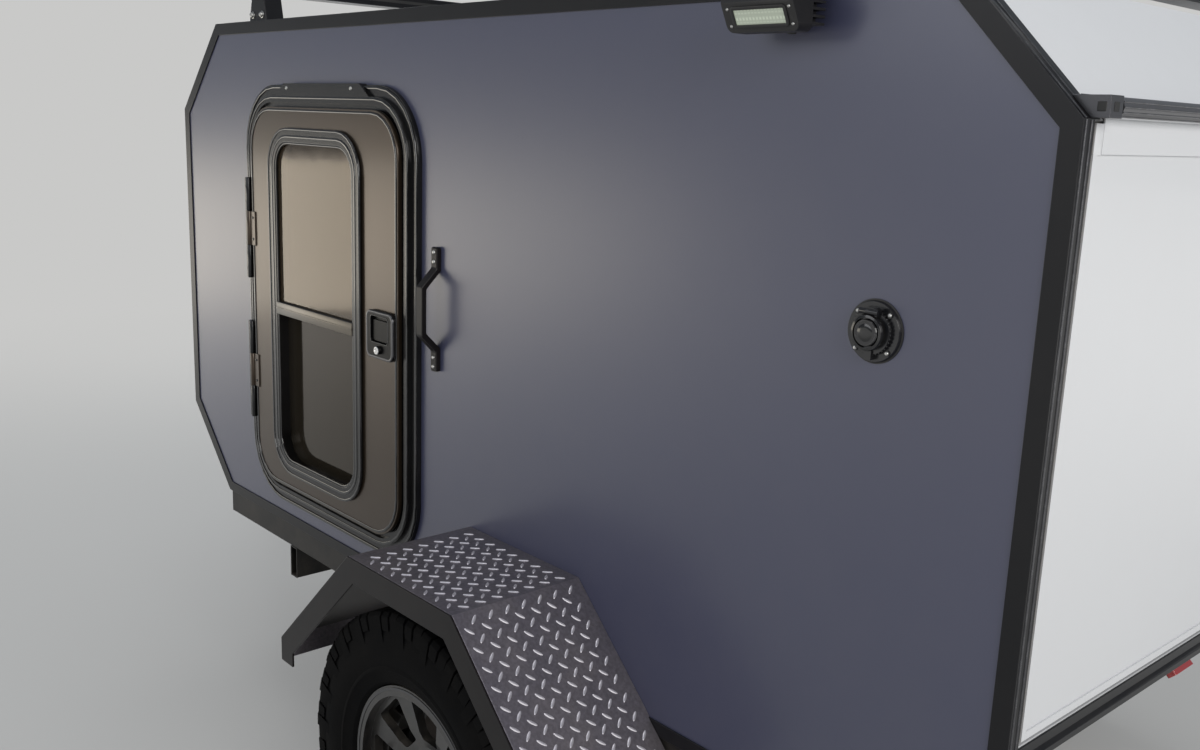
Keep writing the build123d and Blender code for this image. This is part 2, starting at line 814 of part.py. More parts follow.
# The A-frame: two tubes that converge under the coupler, welded to a cross tube under the rails.
tongue_top_z = -rail_height
tongue_low_z = tongue_top_z - tongue_tube_height
tongue_run = (tongue_apex_x - crosstube_front_x) / cos(radians(tongue_half_angle))
tube_start = Plane(
    origin=(body_rear_x + crosstube_front_x, tongue_start_y, body_bottom_z + tongue_low_z + tongue_tube_height / 2),
    x_dir=(sin(radians(tongue_half_angle)), cos(radians(tongue_half_angle)), 0),
    z_dir=(cos(radians(tongue_half_angle)), -sin(radians(tongue_half_angle)), 0),
)
with BuildPart() as tongue_frame:
    with BuildSketch(tube_start.offset(-tongue_tube_width)):
        Rectangle(tongue_tube_width, tongue_tube_height)
        Rectangle(tongue_tube_width - 2 * rail_wall, tongue_tube_height - 2 * rail_wall, mode=Mode.SUBTRACT)
    extrude(amount=tongue_run + tongue_tube_width)
    # Each tube is cut on the centre line, short of the coupler's cup, and square at the cross tube.
    with BuildSketch(deck_plane(tongue_low_z)):
        with Locations((tongue_apex_x, -body_width / 2)):
            Rectangle(2 * body_length, body_width)
        with Locations((ball_x - coupler_cup_radius - cup_gap + body_length / 2, 0)):
            Rectangle(body_length, body_width)
        with Locations((crosstube_front_x - crosstube_width, tongue_start_y)):
            Rectangle(2 * crosstube_width, body_width)
    extrude(amount=tongue_tube_height, mode=Mode.SUBTRACT)
    mirror(about=Plane.XZ)
    with BuildSketch(side_plane(rail_outer_y)):
        with Locations((crosstube_x, (tongue_top_z + tongue_low_z) / 2)):
            Rectangle(crosstube_width, tongue_tube_height)
            Rectangle(crosstube_width - 2 * rail_wall, tongue_tube_height - 2 * rail_wall, mode=Mode.SUBTRACT)
    extrude(amount=2 * rail_outer_y)
tongue_frame.part.label = "tongue_frame"
export_step(tongue_frame.part, "parts/tongue_frame.step")

# Coupler: a wedge-shaped plate on the tubes and the cup that takes the ball, with a latch lever on top.
coupler_plate_thickness = 6
coupler_cup_dome = 14
coupler_plate_length = 260
coupler_lever_length = 120
coupler_lever_width = 26
coupler_lever_thickness = 8
coupler_lever_rise = 22
coupler_lever_foot = 20
coupler_back_x = ball_x - coupler_plate_length
coupler_back_y = (tongue_apex_x - coupler_back_x) * tan(radians(tongue_half_angle)) + tongue_tube_width / 4
cup_low_z = tongue_top_z + coupler_plate_thickness - coupler_cup_height
with BuildPart() as coupler:
    with BuildSketch(deck_plane(tongue_top_z)):
        with BuildLine():
            Polyline(
                (coupler_back_x, coupler_back_y),
                (coupler_back_x, -coupler_back_y),
                (ball_x, -coupler_cup_radius),
                (ball_x, coupler_cup_radius),
                close=True,
            )
        make_face()
    extrude(amount=coupler_plate_thickness)
    with BuildSketch(side_plane(0)):
        cup_high_z = cup_low_z + coupler_cup_height
        with BuildLine():
            Polyline(
                (ball_x, cup_low_z),
                (ball_x + coupler_cup_radius, cup_low_z),
                (ball_x + coupler_cup_radius, cup_high_z),
                (ball_x + coupler_cup_radius - coupler_cup_dome, cup_high_z + coupler_cup_dome),
                (ball_x, cup_high_z + coupler_cup_dome),
                close=True,
            )
        make_face()
    revolve(axis=Axis((body_rear_x + ball_x, 0, 0), (0, 0, 1)))
    with BuildSketch(deck_plane(cup_low_z)):
        with Locations((ball_x, 0)):
            Circle(ball_bore_radius)
    extrude(amount=ball_bore_depth, mode=Mode.SUBTRACT)
    with Locations((body_rear_x + ball_x, 0, body_bottom_z + cup_low_z + ball_bore_depth)):
        Sphere(ball_bore_radius, mode=Mode.SUBTRACT)
    # The latch lever, folded down along the top.
    with BuildSketch(side_plane(coupler_lever_width / 2)):
        lever_x = ball_x - coupler_cup_radius
        lever_z = tongue_top_z + coupler_plate_thickness
        with BuildLine():
            Polyline(
                (lever_x - coupler_lever_foot, lever_z),
                (lever_x, lever_z),
                (lever_x, lever_z + coupler_lever_rise),
                (lever_x - coupler_lever_length, lever_z + coupler_lever_rise),
                (lever_x - coupler_lever_length, lever_z + coupler_lever_rise - coupler_lever_thickness),
                (lever_x - coupler_lever_foot, lever_z + coupler_lever_rise - coupler_lever_thickness),
                close=True,
            )
        make_face()
    extrude(amount=coupler_lever_width)
coupler.part.label = "coupler"
export_step(coupler.part, "parts/coupler.step")

# Tongue jack: an outer tube through a plate on the A-frame, a gear head with a crank, and the sliding leg.
jack_behind_ball = 345
jack_tube_radius = 28.5
jack_leg_radius = 24
leg_fit = 0.05
jack_tube_low = 310
jack_tube_high = 800
jack_plate_thickness = 8
jack_plate_half_length = 75
jack_head_radius = 33
jack_head_height = 46
crank_shaft_radius = 7
crank_shaft_length = 60
crank_arm_length = 150
crank_arm_thickness = 8
crank_grip_radius = 13
crank_grip_length = 90
jack_foot_radius = 75
jack_foot_thickness = 6
jack_leg_engaged = 200

jack_x = ball_x - jack_behind_ball
jack_tube_low_z = jack_tube_low - body_bottom_z
jack_tube_high_z = jack_tube_high - body_bottom_z
with BuildPart() as jack_tube:
    with BuildSketch(deck_plane(tongue_top_z)):
        plate_ends = []
        for plate_x in (jack_x - jack_plate_half_length, jack_x + jack_plate_half_length):
            half_width = (tongue_apex_x - plate_x) * tan(radians(tongue_half_angle)) + tongue_tube_width / 4
            plate_ends.append((plate_x, half_width))
        with BuildLine():
            Polyline(
                plate_ends[0],
                (plate_ends[0][0], -plate_ends[0][1]),
                (plate_ends[1][0], -plate_ends[1][1]),
                plate_ends[1],
                close=True,
            )
        make_face()
    extrude(amount=jack_plate_thickness)
    with BuildSketch(deck_plane(jack_tube_low_z)):
        with Locations((jack_x, 0)):
            Circle(jack_tube_radius)
    extrude(amount=jack_tube_high - jack_tube_low)
    with BuildSketch(deck_plane(jack_tube_high_z)):
        with Locations((jack_x, 0)):
            Circle(jack_head_radius)
    extrude(amount=jack_head_height)
    crank_z = jack_tube_high_z + jack_head_height / 2
    with BuildSketch(side_plane(-jack_head_radius + crank_shaft_radius)):
        with Locations((jack_x, crank_z)):
            Circle(crank_shaft_radius)
    extrude(amount=crank_shaft_length)
    crank_y = -jack_head_radius + crank_shaft_radius - crank_shaft_length
    with BuildSketch(side_plane(crank_y + crank_arm_thickness)):
        with Locations((jack_x, crank_z)):
            Circle(2 * crank_shaft_radius)
        with Locations((jack_x - crank_arm_length / 2, crank_z)):
            Rectangle(crank_arm_length, 2 * crank_shaft_radius)
        with Locations((jack_x - crank_arm_length, crank_z)):
            Circle(2 * crank_shaft_radius)
    extrude(amount=crank_arm_thickness)
    with BuildSketch(side_plane(crank_y)):
        with Locations((jack_x - crank_arm_length, crank_z)):
            Circle(crank_grip_radius)
    extrude(amount=crank_grip_length)
    with BuildSketch(deck_plane(jack_tube_low_z)):
        with Locations((jack_x, 0)):
            Circle(jack_leg_radius + leg_fit)
    extrude(amount=jack_tube_high - jack_tube_low, mode=Mode.SUBTRACT)
jack_tube.part.label = "jack_tube"
export_step(jack_tube.part, "parts/jack_tube.step")

with BuildPart() as jack_leg:
    with BuildSketch(deck_plane(-body_bottom_z)):
        with Locations((jack_x, 0)):
            Circle(jack_foot_radius)
    extrude(amount=jack_foot_thickness)
    with BuildSketch(deck_plane(jack_foot_thickness - body_bottom_z)):
        with Locations((jack_x, 0)):
            Circle(jack_leg_radius)
    extrude(amount=jack_tube_low - jack_foot_thickness + jack_leg_engaged)
jack_leg.part.label = "jack_leg"
export_step(jack_leg.part, "parts/jack_leg.step")

# Axle: a round beam with spring seats, backing plates and the spindles the hubs turn on
axle_radius = 30
spring_width = 45
spring_seat_height = 6
spring_seat_length = 90
leaf_thickness = 6.5
leaf_half_lengths = (330, 250, 180, 110)
leaf_radius = 3600
eye_radius = 17
eye_bolt_radius = 8
eye_lift = 10
eye_fit = 0.05
hanger_play = 1
hanger_thickness = 5
hanger_top_length = 90
hanger_top_thickness = 6
shackle_length = 57
shackle_drop = 36
shackle_thickness = 5
shackle_play = 1.5
shackle_strap_width = 30
plate_end_radius = 18
u_bolt_radius = 6
u_bolt_gap = 0.3
tie_plate_thickness = 8
tie_plate_margin = 12
u_bolt_stand = 14
spindle_radius = 19
backing_plate_radius = 138
backing_plate_thickness = 5

wheel_centre_y = wall_face_y + wheel_offset
wheel_face_inset = 10
mount_face_y = wheel_centre_y - wheel_face_inset
drum_radius = 135
drum_depth = 62
drum_wall = 8
drum_play = 6
hub_radius = 40
cap_radius = 32
cap_length = 30
spindle_end_gap = 6

drum_inner_y = mount_face_y - drum_depth
backing_plate_y = drum_inner_y - drum_play
with BuildPart() as axle_beam:
    with BuildSketch(side_plane(backing_plate_y)):
        with Locations((axle_x, -axle_drop)):
            Circle(axle_radius)
    extrude(amount=2 * backing_plate_y)
    with BuildSketch(side_plane(backing_plate_y)):
        with Locations((axle_x, -axle_drop)):
            Circle(backing_plate_radius)
    extrude(amount=backing_plate_thickness)
    with BuildSketch(side_plane(mount_face_y)):
        with Locations((axle_x, -axle_drop)):
            Circle(spindle_radius)
    extrude(amount=mount_face_y - backing_plate_y + backing_plate_thickness)
    with BuildSketch(side_plane(rail_centre_y + spring_width / 2)):
        with Locations((axle_x, -axle_drop + (axle_radius + spring_seat_height) / 2)):
            Rectangle(spring_seat_length, axle_radius + spring_seat_height)
    extrude(amount=spring_width)
    with BuildSketch(side_plane(-rail_centre_y + spring_width / 2)):
        with Locations((axle_x, -axle_drop + (axle_radius + spring_seat_height) / 2)):
            Rectangle(spring_seat_length, axle_radius + spring_seat_height)
    extrude(amount=spring_width)
    with BuildSketch(side_plane(-backing_plate_y + backing_plate_thickness)):
        with Locations((axle_x, -axle_drop)):
            Circle(backing_plate_radius)
    extrude(amount=backing_plate_thickness)
    with BuildSketch(side_plane(-backing_plate_y + backing_plate_thickness)):
        with Locations((axle_x, -axle_drop)):
            Circle(spindle_radius)
    extrude(amount=mount_face_y - backing_plate_y + backing_plate_thickness)
axle_beam.part.label = "axle_beam"
export_step(axle_beam.part, "parts/axle_beam.step")

# Leaf springs, each leaf shorter than the one above it, with an eye rolled at each end of the longest.
seat_z = -axle_drop + axle_radius + spring_seat_height
pack_height = leaf_thickness * len(leaf_half_lengths)
spring_centre_z = seat_z + pack_height + leaf_radius
eye_reach = leaf_half_lengths[0] / leaf_radius
eye_x = (leaf_radius - eye_lift) * sin(eye_reach)
eye_z = spring_centre_z - (leaf_radius - eye_lift) * cos(eye_reach)


def spring_point(radius, angle):
    """Point of the spring's arcs at that radius and angle ahead of the axle."""
    return (axle_x + radius * sin(angle), spring_centre_z - radius * cos(angle))


with BuildPart() as leaf_springs:
    with BuildSketch(side_plane(rail_centre_y + spring_width / 2)):
        for index, half_length in enumerate(leaf_half_lengths):
            upper = leaf_radius + index * leaf_thickness
            lower = upper + leaf_thickness
            sweep_angle = half_length / leaf_radius
            with BuildLine():
                ThreePointArc(
                    spring_point(upper, -sweep_angle), spring_point(upper, 0), spring_point(upper, sweep_angle)
                )
                Line(spring_point(upper, sweep_angle), spring_point(lower, sweep_angle))
                ThreePointArc(
                    spring_point(lower, sweep_angle), spring_point(lower, 0), spring_point(lower, -sweep_angle)
                )
                Line(spring_point(lower, -sweep_angle), spring_point(upper, -sweep_angle))
            make_face()
        with Locations((axle_x - eye_x, eye_z), (axle_x + eye_x, eye_z)):
            Circle(eye_radius)
            Circle(eye_bolt_radius + eye_fit, mode=Mode.SUBTRACT)
        # The lowest leaf bears on the axle's flat seat.
        with Locations((axle_x, seat_z + leaf_thickness / 2)):
            Rectangle(spring_seat_length, leaf_thickness)
    extrude(amount=spring_width)
    mirror(about=Plane.XZ)
leaf_springs.part.label = "leaf_springs"
export_step(leaf_springs.part, "parts/leaf_springs.step")

# Spring hangers under the rails: the front one holds the eye's bolt, the rear one the shackle's.
shackle_pin_x = axle_x - eye_x - sqrt(shackle_length ** 2 - shackle_drop ** 2)
shackle_pin_z = eye_z + shackle_drop
front_inner = spring_width / 2 + hanger_play
rear_inner = front_inner + shackle_thickness + shackle_play
with BuildPart() as spring_hangers:
    for hanger_x, hanger_z, inner_gap, has_bolt in (
        (axle_x + eye_x, eye_z, front_inner, True),
        (shackle_pin_x, shackle_pin_z, rear_inner, False),
    ):
        outer_gap = inner_gap + hanger_thickness
        with BuildSketch(side_plane(rail_centre_y + outer_gap)):
            with BuildLine():
                Polyline(
                    (hanger_x - hanger_top_length / 2, -rail_height),
                    (hanger_x - plate_end_radius, hanger_z),
                    (hanger_x + plate_end_radius, hanger_z),
                    (hanger_x + hanger_top_length / 2, -rail_height),
                    close=True,
                )
            make_face()
            with Locations((hanger_x, hanger_z)):
                Circle(plate_end_radius)
        extrude(amount=2 * outer_gap)
        with BuildSketch(side_plane(rail_centre_y + inner_gap)):
            with Locations((hanger_x, hanger_z - plate_end_radius)):
                Rectangle(
                    2 * hanger_top_length,
                    2 * (-rail_height - hanger_top_thickness - hanger_z + plate_end_radius),
                )
        extrude(amount=2 * inner_gap, mode=Mode.SUBTRACT)
        if has_bolt:
            with BuildSketch(side_plane(rail_centre_y + outer_gap + eye_bolt_radius)):
                with Locations((hanger_x, hanger_z)):
                    Circle(eye_bolt_radius)
            extrude(amount=2 * (outer_gap + eye_bolt_radius))
        else:
            with BuildSketch(side_plane(rail_centre_y + outer_gap)):
                with Locations((hanger_x, hanger_z)):
                    Circle(eye_bolt_radius + eye_fit)
            extrude(amount=2 * outer_gap, mode=Mode.SUBTRACT)
    mirror(about=Plane.XZ)
spring_hangers.part.label = "spring_hangers"
export_step(spring_hangers.part, "parts/spring_hangers.step")

# Shackles: two straps on two bolts, from the rear hanger down to the spring's rear eye.
shackle_tilt = degrees(asin(shackle_drop / shackle_length))
with BuildPart() as spring_shackles:
    strap_centre = ((axle_x - eye_x + shackle_pin_x) / 2, (eye_z + shackle_pin_z) / 2)
    for strap_y in (
        rail_centre_y + front_inner + shackle_thickness,
        rail_centre_y - front_inner,
    ):
        with BuildSketch(side_plane(strap_y)):
            with Locations(Location(strap_centre, -shackle_tilt)):
                SlotCenterToCenter(shackle_length, shackle_strap_width)
        extrude(amount=shackle_thickness)
    with BuildSketch(side_plane(rail_centre_y + rear_inner + hanger_thickness + eye_bolt_radius)):
        with Locations((shackle_pin_x, shackle_pin_z), (axle_x - eye_x, eye_z)):
            Circle(eye_bolt_radius)
    extrude(amount=2 * (rear_inner + hanger_thickness + eye_bolt_radius))
    mirror(about=Plane.XZ)
spring_shackles.part.label = "spring_shackles"
export_step(spring_shackles.part, "parts/spring_shackles.step")

# U-bolts under the axle, up past the spring to a tie plate on its top leaf.
leg_x = axle_radius + u_bolt_gap + u_bolt_radius
leg_y = spring_width / 2 + u_bolt_gap + u_bolt_radius
tie_low_z = seat_z + pack_height + leaf_radius - sqrt(leaf_radius ** 2 - (leg_x + tie_plate_margin) ** 2) + u_bolt_gap
with BuildPart() as u_bolts:
    for bolt_y in (rail_centre_y + leg_y, rail_centre_y - leg_y):
        with BuildSketch(side_plane(bolt_y + u_bolt_radius)):
            with Locations((axle_x, -axle_drop)):
                Circle(leg_x + u_bolt_radius)
                Circle(leg_x - u_bolt_radius, mode=Mode.SUBTRACT)
            with Locations((axle_x, -axle_drop + leg_x)):
                Rectangle(4 * leg_x, 2 * leg_x, mode=Mode.SUBTRACT)
        extrude(amount=2 * u_bolt_radius)
        with BuildSketch(deck_plane(-axle_drop)):
            with Locations((axle_x - leg_x, bolt_y), (axle_x + leg_x, bolt_y)):
                Rectangle(2 * u_bolt_radius, 2 * u_bolt_radius)
        extrude(amount=tie_low_z + tie_plate_thickness + u_bolt_stand + axle_drop)
    with BuildSketch(deck_plane(tie_low_z)):
        with Locations((axle_x, rail_centre_y)):
            Rectangle(2 * (leg_x + tie_plate_margin), 2 * (leg_y + tie_plate_margin))
    extrude(amount=tie_plate_thickness)
    mirror(about=Plane.XZ)
u_bolts.part.label = "u_bolts"
export_step(u_bolts.part, "parts/u_bolts.step")

# Wheels: hub and drum, rim and tyre, each turned about the spindle's axis.
rim_seat_radius = 190.6
rim_flange_radius = 203
rim_half_width = 91
rim_wall = 7
rim_drop_radius = 165
rim_lip = 12
boss_radius = 75
boss_bore_radius = 33
boss_face = 50
disc_back_drop = 18
disc_knee_radius = 110
disc_knee_face = 62
disc_rim_face = 72
spoke_count = 8
spoke_gap_inner = 88
spoke_gap_outer = 172
spoke_gap_angle = 29
spoke_gap_corner = 8
seat_gap = 0.2
spindle_fit = 0.05

# Tyre: a ring of flat facets that carry the tread blocks
tread_steps = 26
lower_wall_radius = 228
lower_wall_half_width = 103
bulge_radius = 290
bulge_half_width = 106
tread_radius = 335
tread_half_width = 93
block_length = 56
centre_block_inner = 5
centre_block_outer = 40
shoulder_block_length = 46
shoulder_block_inner = 52
shoulder_block_edge = 86
shoulder_knee_radius = 332
shoulder_knee_side = 103
shoulder_foot_radius = 297
block_root = 4


def wheel_plane():
    """Plane through the left wheel's axis: local x runs up the radius, local y runs outwards."""
    return Plane(
        origin=(body_rear_x + axle_x, wheel_centre_y, body_bottom_z - axle_drop),
        x_dir=(0, 0, 1),
        z_dir=(-1, 0, 0),
    )


wheel_axis = Axis((body_rear_x + axle_x, 0, body_bottom_z - axle_drop), (0, 1, 0))

bead_radius = rim_seat_radius + seat_gap
bead_half_width = rim_half_width - rim_wall - seat_gap
half_step = 180 / tread_steps
block_top_radius = sqrt(tyre_radius ** 2 - block_length ** 2 / 4)
block_root_radius = tread_radius - block_root
half_section = [
    (bead_radius, bead_half_width),
    (rim_flange_radius + seat_gap, bead_half_width),
    (lower_wall_radius, lower_wall_half_width),
    (bulge_radius, bulge_half_width),
    (tread_radius, tread_half_width),
]
centre_block = [
    (block_root_radius, centre_block_inner),
    (block_top_radius, centre_block_inner),
    (block_top_radius, centre_block_outer),
    (block_root_radius, centre_block_outer),
]
shoulder_block = [
    (block_root_radius, shoulder_block_inner),
    (block_top_radius, shoulder_block_inner),
    (block_top_radius, shoulder_block_edge),
    (shoulder_knee_radius, shoulder_knee_side),
    (shoulder_foot_radius, tyre_width / 2),
    (shoulder_foot_radius, tread_half_width),
]


def other_side(points):
    """The same outline on the tyre's inner side."""
    return [(radius, -side) for radius, side in points]


with BuildPart() as tyre_left:
    # One facet of the ring: the section run along the tangent, with its blocks, cut to a wedge.
    with BuildSketch(wheel_plane()):
        with BuildLine():
            Polyline(*half_section, *other_side(half_section)[::-1], close=True)
        make_face()
    extrude(amount=tyre_radius * tan(radians(half_step)), both=True)
    # The rows are staggered, so every other row's blocks straddle two facets.
    for outline, length, turns in (
        (centre_block, block_length, (0,)),
        (other_side(centre_block), block_length, (-half_step, half_step)),
        (shoulder_block, shoulder_block_length, (-half_step, half_step)),
        (other_side(shoulder_block), shoulder_block_length, (0,)),
    ):
        for turn in turns:
            with BuildSketch(wheel_plane().rotated((0, turn, 0))):
                with BuildLine():
                    Polyline(*outline, close=True)
                make_face()
            extrude(amount=length / 2, both=True)
    with BuildSketch(side_plane(wheel_centre_y + tyre_width / 2)):
        wedge_height = 1.1 * tyre_radius
        wedge_side = wedge_height * tan(radians(half_step))
        with BuildLine():
            Polyline(
                (axle_x, -axle_drop),
                (axle_x + wedge_side, wedge_height - axle_drop),
                (axle_x - wedge_side, wedge_height - axle_drop),
                close=True,
            )
        make_face()
    extrude(amount=tyre_width, mode=Mode.INTERSECT)
    facet = tyre_left.part
    add([facet.rotate(wheel_axis, 2 * half_step * step) for step in range(1, tread_steps)])

with BuildPart() as rim_left:
    with BuildSketch(wheel_plane()):
        with BuildLine():
            Polyline(
                (rim_flange_radius, rim_half_width),
                (rim_flange_radius, rim_half_width - rim_wall),
                (rim_seat_radius, rim_half_width - rim_wall),
                (rim_seat_radius, rim_half_width / 2),
                (rim_drop_radius, rim_half_width / 3),
                (rim_drop_radius, -rim_half_width / 3),
                (rim_seat_radius, -rim_half_width / 2),
                (rim_seat_radius, -rim_half_width + rim_wall),
                (rim_flange_radius, -rim_half_width + rim_wall),
                (rim_flange_radius, -rim_half_width),
                (rim_seat_radius - rim_wall, -rim_half_width),
                (rim_seat_radius - rim_wall, -rim_half_width / 2),
                (rim_drop_radius - rim_wall, -rim_half_width / 3),
                (rim_drop_radius - rim_wall, rim_half_width / 3),
                (rim_seat_radius - rim_wall, rim_half_width / 2),
                (rim_seat_radius - rim_wall, rim_half_width),
                close=True,
            )
        make_face()
        # The wheel's centre: a boss on the hub's face and a disc dished out to the barrel's outer end.
        with BuildLine():
            Polyline(
                (boss_bore_radius, -wheel_face_inset),
                (boss_bore_radius, boss_face),
                (boss_radius, boss_face),
                (disc_knee_radius, disc_knee_face),
                (rim_seat_radius - rim_wall / 2, disc_rim_face),
                (rim_seat_radius - rim_wall / 2, disc_rim_face - disc_back_drop),
                (disc_knee_radius, disc_knee_face - disc_back_drop),
                (boss_radius, boss_face - disc_back_drop),
                (boss_radius, -wheel_face_inset),
                close=True,
            )
        make_face()
    revolve(axis=wheel_axis)
    # Windows between the spokes, wider outwards.
    with BuildSketch(side_plane(wheel_centre_y + rim_half_width)) as spoke_gaps:
        gap_reach = spoke_gap_outer - spoke_gap_inner
        with Locations((axle_x, -axle_drop)):
            with PolarLocations((spoke_gap_outer + spoke_gap_inner) / 2, spoke_count):
                Trapezoid(
                    2 * spoke_gap_outer * tan(radians(spoke_gap_angle / 2)),
                    gap_reach,
                    90 - spoke_gap_angle / 2,
                    rotation=90,
                )
        fillet(spoke_gaps.vertices(), spoke_gap_corner)
    extrude(amount=rim_half_width, mode=Mode.SUBTRACT)

# Hub and brake drum, bored for the spindle and closed by the grease cap.
with BuildPart() as hub_left:
    with BuildSketch(side_plane(mount_face_y)):
        with Locations((axle_x, -axle_drop)):
            Circle(drum_radius)
    extrude(amount=drum_depth)
    with BuildSketch(side_plane(drum_inner_y)):
        with Locations((axle_x, -axle_drop)):
            Circle(drum_radius - drum_wall)
            Circle(hub_radius, mode=Mode.SUBTRACT)
    extrude(amount=-(drum_depth - drum_wall), mode=Mode.SUBTRACT)
    with BuildSketch(side_plane(mount_face_y + cap_length)):
        with Locations((axle_x, -axle_drop)):
            Circle(cap_radius)
    extrude(amount=cap_length)
    with BuildSketch(side_plane(mount_face_y + spindle_end_gap)):
        with Locations((axle_x, -axle_drop)):
            Circle(spindle_radius + spindle_fit)
    extrude(amount=drum_depth + spindle_end_gap, mode=Mode.SUBTRACT)

for stem, left_piece in (("tyre", tyre_left), ("rim", rim_left), ("hub", hub_left)):
    left_piece.part.label = stem + "_left"
    export_step(left_piece.part, "parts/" + stem + "_left.step")
    with BuildPart() as right_piece:
        mirror(left_piece.part, about=Plane.XZ)
    right_piece.part.label = stem + "_right"
    export_step(right_piece.part, "parts/" + stem + "_right.step")

# Grab handle on the left wall, behind the door
grab_behind_door = 439
grab_low = 512
grab_high = 763
grab_width = 20
grab_thickness = 11
grab_tab = 42
grab_grip_out = 45
grab_bend = 34
handle_x = door_x - grab_behind_door
with BuildPart() as grab_handle:
    with BuildSketch(cross_plane(handle_x - grab_width / 2)):
        with BuildLine():
            Polyline(
                (wall_face_y, grab_low),
                (wall_face_y + grab_thickness, grab_low),
                (wall_face_y + grab_thickness, grab_low + grab_tab),
                (wall_face_y + grab_grip_out, grab_low + grab_tab + grab_bend),
                (wall_face_y + grab_grip_out, grab_high - grab_tab - grab_bend),
                (wall_face_y + grab_thickness, grab_high - grab_tab),
                (wall_face_y + grab_thickness, grab_high),
                (wall_face_y, grab_high),
                (wall_face_y, grab_high - grab_tab - grab_thickness / 2),
                (wall_face_y + grab_grip_out - grab_thickness, grab_high - grab_tab - grab_bend - grab_thickness / 2),
                (wall_face_y + grab_grip_out - grab_thickness, grab_low + grab_tab + grab_bend + grab_thickness / 2),
                (wall_face_y, grab_low + grab_tab + grab_thickness / 2),
                close=True,
            )
        make_face()
    extrude(amount=grab_width)
grab_handle.part.label = "grab_handle"
export_step(grab_handle.part, "parts/grab_handle.step")

# Round power inlet on the left wall near the rear: flange, raised collar, sprung cap, hinge and clasp
inlet_x = 251
inlet_below_top = 463
inlet_flange_radius = 42.5
inlet_flange_thickness = 7
inlet_flange_taper = 15
inlet_collar_radius = 30
inlet_collar_reach = 13
inlet_cap_radius = 21
inlet_cap_reach = 25
inlet_cap_taper = 8
inlet_hinge_width = 24
inlet_hinge_height = 20
inlet_hinge_reach = 19
inlet_hinge_rise = 2
inlet_pin_radius = 4
inlet_pin_rise = 7
inlet_pin_length = 30
inlet_clasp_width = 12
inlet_clasp_height = 22
inlet_clasp_reach = 16
inlet_clasp_drop = 6
inlet_screw_radius = 4
inlet_screw_reach = 9
inlet_screw_ring_radius = 36
inlet_z = body_height - inlet_below_top
with BuildPart() as power_inlet:
    for radius, reach, taper in (
        (inlet_flange_radius, inlet_flange_thickness, inlet_flange_taper),
        (inlet_collar_radius, inlet_collar_reach, 0),
        (inlet_cap_radius, inlet_cap_reach, inlet_cap_taper),
    ):
        with BuildSketch(side_plane(wall_face_y)):
            with Locations((inlet_x, inlet_z)):
                Circle(radius)
        extrude(amount=-reach, taper=taper)
    for tab_z, tab_width, tab_height, tab_reach in (
        (inlet_z + inlet_cap_radius + inlet_hinge_rise, inlet_hinge_width, inlet_hinge_height, inlet_hinge_reach),
        (inlet_z - inlet_cap_radius - inlet_clasp_drop, inlet_clasp_width, inlet_clasp_height, inlet_clasp_reach),
    ):
        with BuildSketch(side_plane(wall_face_y)):
            with Locations((inlet_x, tab_z)):
                RectangleRounded(tab_width, tab_height, tab_width / 4)
        extrude(amount=-tab_reach)
    with BuildSketch(cross_plane(inlet_x - inlet_pin_length / 2)):
        with Locations((wall_face_y + inlet_hinge_reach, inlet_z + inlet_cap_radius + inlet_pin_rise)):
            Circle(inlet_pin_radius)
    extrude(amount=inlet_pin_length)
    with BuildSketch(side_plane(wall_face_y)):
        with Locations((inlet_x, inlet_z)):
            with PolarLocations(inlet_screw_ring_radius, 4, start_angle=45):
                Circle(inlet_screw_radius)
    extrude(amount=-inlet_screw_reach)
power_inlet.part.label = "power_inlet"
export_step(power_inlet.part, "parts/power_inlet.step")

# Scene lamp high on the left wall: a box that leans out, a lens that looks down and cooling fins behind it
lamp_x = 425
lamp_width = 125
lamp_below_top = 77
lamp_height = 62
lamp_reach = 85
lamp_box_depth = 44
lamp_lean = 20
lamp_crown = 12
lamp_corner = 10
lamp_lens_rise = 38
lamp_rim = 9
lamp_glass_depth = 3
lamp_core_width = 70
lamp_core_height = 40
lamp_fin_count = 5
lamp_fin_thickness = 3.5
lamp_fin_pitch = 9.5
lamp_fin_inner = 9
lamp_foot_width = 60
lamp_foot_height = 40
lamp_foot_thickness = 5
lamp_foot_z = body_height - lamp_below_top
lamp_middle_z = lamp_foot_z + lamp_height / 2
lamp_back_y = wall_face_y + lamp_reach - lamp_box_depth
lamp_face_y = wall_face_y + lamp_reach - lamp_lean / 2
lamp_lens_height = sqrt(lamp_lens_rise ** 2 + lamp_lean ** 2) - 2 * lamp_rim
lamp_lens_width = lamp_width - 4 * lamp_rim
lamp_face = Plane(
    origin=(body_rear_x + lamp_x, lamp_face_y, body_bottom_z + lamp_foot_z + lamp_lens_rise / 2),
    x_dir=(-1, 0, 0),
    z_dir=(0, lamp_lens_rise, -lamp_lean),
)
